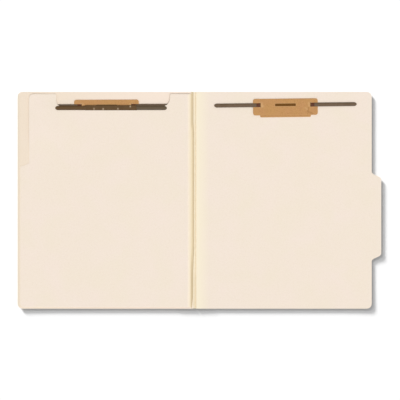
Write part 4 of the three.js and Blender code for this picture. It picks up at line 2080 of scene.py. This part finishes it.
@dataclass(frozen=True)
class Divider:
    """The divider: a notched manila leaf that hangs on a strip of spunbonded sheet."""

    cover: Cover
    gusset: Gusset
    outer_inset: float = 3.6
    top_inset: float = 3.2
    bottom_inset: float = 2.2
    spine_inset: float = 6.8
    undercut_depth: float = 12.4
    undercut_length: float = 95.4
    undercut_slope: float = 4.4
    corner_radius: float = 6.8
    undercut_radius: float = 2.0
    notch_from_spine: float = 109.65
    notch_width: float = 156.5
    notch_depth: float = 17.15
    notch_left_radius: float = 9.0
    notch_right_radius: float = 13.2
    mouth_radius: float = 2.0
    underside: float = 2.91
    thickness: float = 0.46
    sag: float = 1.75
    sags_outward: Ease = Ease(110.0, 125.0)
    sags_downward: Ease = Ease(-106.0, 46.0)
    ear_sag: float = 1.3
    ear_inner: Ease = Ease(190.0, 7.0)
    ear_outer: Ease = Ease(-236.0, 34.0)
    ear_bottom: Ease = Ease(124.0, 16.0)
    wave_across: Wave = Wave(0.12, 47.0, 0.6)
    wave_up: Wave = Wave(1.0, 61.0, 1.1)
    wavy_from: Ease = Ease(30.0, 60.0)
    rest_gap: float = 0.05
    tape_thickness: float = 0.15
    tape_lap: float = 15.0
    tape_height: float = 2.65
    tape_lap_points: int = 9
    tape_loose_run: float = 4.0
    tape_sways: tuple[Wave, Wave] = (Wave(0.07, 27.0, 0.5), Wave(0.04, 10.0))
    tape_heave: Wave = Wave(0.06, 38.0, 1.0)
    tape_leans: Ease = Ease(-6.6, 2.4)
    tape_lean: float = 0.4
    tape_lean_wear: float = 0.35
    tape_shade: Ease = Ease(-10.0, 6.4)
    tape_bend: tuple[float, float] = (3.6, 5.9)
    glue_thickness: float = 0.05
    glue_gap: float = 0.03
    glue_margin: float = 1.5
    glue_corner: float = 1.0
    rows: int = 75
    roll: tuple[tuple[float, float], ...] = (
        (-8.2, 2.72),
        (-6.9, 2.7),
        (-5.7, 2.6),
        (-4.7, 2.42),
        (-4.0, 2.2),
        (-3.7, 1.98),
        (-3.6, 1.74),
    )

    def height_at(self, x: Array, y: Array) -> Array:
        """Gives the height of the leaf's underside, which sags away from the fasteners.

        Args:
            x: Places across the folder.
            y: Places up the pages.

        Returns:
            The heights.
        """
        downward = self.sags_downward.at(-y)
        wave = self.wave_across.at(x) * self.wave_up.at(y) * self.wavy_from.at(-x) * downward
        ear = self.ear_inner.at(-x) * self.ear_outer.at(x) * self.ear_bottom.at(y)
        sagging = self.sag * self.sags_outward.at(-x) * downward + self.ear_sag * ear
        rests = self.cover.underside(x, y) + self.cover.thickness + self.rest_gap
        return np.maximum(self.underside - sagging + wave, rests)

    def outline(self) -> Outline:
        """Gives the leaf's plan outline, with its notch and its cut-back edge.

        Returns:
            The outline.
        """
        half = self.cover.height / 2
        spine_edge = GUTTER_X - self.cover.gutter / 2
        wide = spine_edge - self.cover.width + self.outer_inset
        narrow = wide + self.undercut_depth
        spine = spine_edge - self.spine_inset
        top = half - self.top_inset
        bottom = self.bottom_inset - half
        step_top = top - self.undercut_length
        middle = spine_edge - self.notch_from_spine
        left, right = middle - self.notch_width / 2, middle + self.notch_width / 2
        floor = top - self.notch_depth
        return Outline.rounded([
            (wide, bottom, self.corner_radius),
            (spine, bottom, 0.0),
            (spine, top, 0.0),
            (right, top, self.mouth_radius),
            (right, floor, self.notch_right_radius),
            (left, floor, self.notch_left_radius),
            (left, top, self.mouth_radius),
            (narrow, top, self.corner_radius),
            (narrow, step_top, self.undercut_radius),
            (wide, step_top - self.undercut_slope, self.undercut_radius),
        ])

    def build_leaf(self, finishes: Finishes) -> bpy.types.Object:
        """Builds the notched leaf.

        Args:
            finishes: The folder's finishes.

        Returns:
            The leaf.
        """

        def place(plan: Array, height: Array) -> Array:
            """Puts the leaf's points on its sagging curve."""
            return np.column_stack([plan, self.height_at(plan[:, 0], plan[:, 1]) + height])

        made = CutSheet(self.outline(), self.thickness).build(place).finished("divider_leaf")
        return mount(dress(made, finishes.manila, Slot.MANILA, "divider_board"), Body.DIVIDER)

    def build_tape(self, finishes: Finishes) -> bpy.types.Object:
        """Builds the hinge tape, from under the leaf down into the gutter.

        Args:
            finishes: The folder's finishes.

        Returns:
            The tape.
        """
        spine_edge = -self.cover.gutter / 2 - self.spine_inset
        level = self.tape_height + self.tape_thickness / 2
        lap = np.linspace(spine_edge - self.tape_lap, spine_edge, self.tape_lap_points)
        path = softened([*((u, level) for u in lap), *self.roll], 2)
        half = self.cover.height / 2
        rows = np.linspace(self.bottom_inset - half, half - self.top_inset, self.rows)
        y = rows[:, None]
        u, z = path.T[:, None, :]
        loose = eased((u - spine_edge) / self.tape_loose_run)
        leans = self.gusset.leaning(y) * self.tape_leans.at(u)
        swayed = u + loose * sum(wave.at(y) for wave in self.tape_sways)
        x = swayed + GUTTER_X - self.tape_lean * leans
        z = z + loose * self.tape_heave.at(y)
        across = lengths_along(path)
        # Painted shade: the tape darkens towards the gutter and where it leans at its two ends.
        wear_and_shade_share = self.tape_shade.at(swayed) + self.tape_lean_wear * leans
        strip = FormedStrip(grid_of(x, y, z), across, y, self.tape_thickness).build(wear_and_shade_share)
        made = strip.finished("divider_tape", CLOTH_SHARP_DEGREES)
        dress(made, finishes.tape, Slot.GUSSET, "divider_hinge_tape")
        start, end = (Vector((GUTTER_X - u, 0, 0)) * MM for u in self.tape_bend)
        bend(made, Body.FRONT, Body.DIVIDER, start, end)
        return made

    def build_glue(self, finishes: Finishes) -> bpy.types.Object:
        """Builds the film between the tape and the leaf.

        Args:
            finishes: The folder's finishes.

        Returns:
            The film.
        """
        half = self.cover.height / 2
        inner = GUTTER_X - self.cover.gutter / 2 - self.spine_inset - self.glue_margin
        outer = inner - self.tape_lap + 2 * self.glue_margin
        bottom = self.bottom_inset + self.glue_margin - half
        top = half - self.top_inset - self.glue_margin
        layer = GlueLayer(
            name="divider_glue",
            node="divider_tape_glue",
            body=Body.DIVIDER,
            outline=Outline.rectangle(outer, bottom, inner, top, self.glue_corner),
            thickness=self.glue_thickness,
        )
        base = self.tape_height + self.tape_thickness + self.glue_gap
        return layer.build(lambda plan, height: np.column_stack([plan, height + base]), finishes)

    def build(self, finishes: Finishes) -> None:
        """Builds the leaf, its tape and the glue between them.

        Args:
            finishes: The folder's finishes.
        """
        self.build_leaf(finishes)
        self.build_tape(finishes)
        self.build_glue(finishes)


@dataclass(frozen=True)
class Lamp:
    """A broad distant lamp: where it stands, how wide it is and how much of the light it gives."""

    name: str
    bearing: float
    elevation: float
    width: float
    share: float
    distance: float = 2.0

    def build(self) -> bpy.types.Object:
        """Builds the lamp, so that level white card would show its share of full white.

        Returns:
            The lamp.
        """
        light = bpy.data.lights.new(self.name, "SUN")
        light.angle = math.radians(self.width)
        light.energy = self.share * math.pi / math.sin(math.radians(self.elevation))
        made = add_object(self.name, light)
        bearing, elevation = math.radians(self.bearing), math.radians(self.elevation)
        across, up = math.cos(elevation), math.sin(elevation)
        stands = Vector((across * math.sin(bearing), across * math.cos(bearing), up))
        made.rotation_euler = stands.to_track_quat("Z", "Y").to_euler()
        made.location = stands * self.distance
        LOG.info("lamp %s gives %.2f of the light", self.name, self.share)
        return made


@dataclass(frozen=True)
class Studio:
    """A white table under soft light, and the camera straight above it."""

    sky_share: float = 0.42
    overhead: Lamp = Lamp("overhead_lamp", bearing=150.0, elevation=84.0, width=50.0, share=0.29)
    low_right: Lamp = Lamp("low_right_lamp", bearing=157.0, elevation=61.0, width=8.0, share=0.29)
    table_low: Lamp = Lamp("table_low_lamp", bearing=-38.0, elevation=10.4, width=8.4, share=0.58)
    table_high: Lamp = Lamp(
        "table_high_lamp", bearing=-38.0, elevation=24.0, width=18.0, share=0.2
    )
    table_white: float = 0.86
    table_height: float = -0.65
    table_reach: float = 6.0
    lens: float = 100.0
    sensor: float = 36.0
    seen_from: float = 0.05
    seen_to: float = 50.0
    picture_width: float = 550.9
    centre: tuple[float, float] = (0.82, 0.34)

    def build_table(self) -> bpy.types.Object:
        """Builds the white table top, which isn't part of the folder.

        Returns:
            The table top.
        """
        reach = self.table_reach
        height = self.table_height * MM
        mesh = bpy.data.meshes.new("table_top")
        corners = [(-reach, -reach), (reach, -reach), (reach, reach), (-reach, reach)]
        mesh.from_pydata([(x, y, height) for x, y in corners], [], [(0, 1, 2, 3)])
        table = add_object("table_top", mesh)
        material = bpy.data.materials.new("table_white")
        material.use_nodes = True
        shader = material.node_tree.nodes["Principled BSDF"]
        shader.inputs["Base Color"].default_value = (*[self.table_white] * 3, 1.0)
        shader.inputs["Roughness"].default_value = 1.0
        shader.inputs["Specular IOR Level"].default_value = 0.0
        mesh.materials.append(material)
        return table

    def build_sky(self) -> None:
        """Builds the white surroundings: full white to the eye and in gloss, softer as light."""
        world = bpy.data.worlds.new("white_room")
        bpy.context.scene.world = world
        world.use_nodes = True
        wiring = Wiring(world.node_tree)
        world.node_tree.nodes.clear()
        path = wiring.node("ShaderNodeLightPath")
        seen = path.outputs["Is Camera Ray"]
        for ray in ("Is Glossy Ray", "Is Transmission Ray"):
            seen = wiring.maths("MAXIMUM", seen, path.outputs[ray])
        white = (1.0, 1.0, 1.0, 1.0)
        lit = wiring.node("ShaderNodeBackground", {"Color": white, "Strength": self.sky_share})
        shown = wiring.node("ShaderNodeBackground", {"Color": white, "Strength": 1.0})
        mix = wiring.node("ShaderNodeMixShader")
        out = wiring.node("ShaderNodeOutputWorld")
        wiring.join(seen, mix.inputs[0])
        wiring.join(lit.outputs[0], mix.inputs[1])
        wiring.join(shown.outputs[0], mix.inputs[2])
        wiring.join(mix.outputs[0], out.inputs[0])

    def build_lamps(self, table: bpy.types.Object, boards: Sequence[bpy.types.Object]) -> None:
        """Builds the lamps and says what each one lights.

        Args:
            table: The table top, lit by its own lamps.
            boards: The covers and the gusset, whose shadow falls on the table.
        """
        folder_only = bpy.data.collections.new("all_but_the_table")
        folder_only.objects.link(table)
        folder_only.collection_objects[0].light_linking.link_state = "EXCLUDE"
        for lamp in (self.overhead, self.low_right):
            lamp.build().light_linking.receiver_collection = folder_only
        table_only = bpy.data.collections.new("the_table")
        table_only.objects.link(table)
        casters = bpy.data.collections.new("covers_on_the_table")
        for board in boards:
            casters.objects.link(board)
        for lamp in (self.table_low, self.table_high):
            made = lamp.build()
            made.light_linking.receiver_collection = table_only
            made.light_linking.blocker_collection = casters

    def build_camera(self) -> bpy.types.Object:
        """Builds the camera, straight above the folder.

        Returns:
            The camera.
        """
        data = bpy.data.cameras.new("portrait_camera")
        data.type = "PERSP"
        data.lens = self.lens
        data.sensor_width = self.sensor
        data.clip_start = self.seen_from
        data.clip_end = self.seen_to
        camera = add_object("portrait_camera", data)
        away = self.picture_width * self.lens / self.sensor
        camera.location = Vector((*self.centre, away)) * MM
        bpy.context.scene.camera = camera
        return camera

    def build(self, boards: Sequence[bpy.types.Object]) -> None:
        """Builds the table, the surroundings, the lamps and the camera.

        Args:
            boards: The covers and the gusset, whose shadow falls on the table.
        """
        bpy.context.scene.view_settings.view_transform = "Standard"
        table = self.build_table()
        self.build_sky()
        self.build_lamps(table, boards)
        self.build_camera()


def main() -> None:
    """Builds the folder piece by piece, then the studio round it."""
    logging.basicConfig(level=logging.INFO, format="%(name)s: %(message)s")
    finishes = Finishes.mixed()
    back = Cover(Side.BACK)
    front = Cover(Side.FRONT, spine_lift=0.05)
    boards = [cover.build(finishes) for cover in (back, front)]
    gusset = Gusset(back, front)
    sheet = gusset.build(finishes)
    back_fastener = BondedFastener(
        Side.BACK,
        x=118.35,
        y=131.325,
        turn=0.64,
        left_body=Body.BACK_LEFT_PRONG,
        right_body=Body.BACK_RIGHT_PRONG,
    )
    front_fastener = BondedFastener(
        Side.FRONT, x=-127.85, y=129.825, turn=0.25, prong_rise=-0.25
    )
    for fastener in (back_fastener, front_fastener):
        fastener.build(finishes)
    Divider(front, gusset).build(finishes)
    TwinFastener().build(finishes)
    Studio().build([*boards, sheet])


if __name__ == "__main__":
    main()
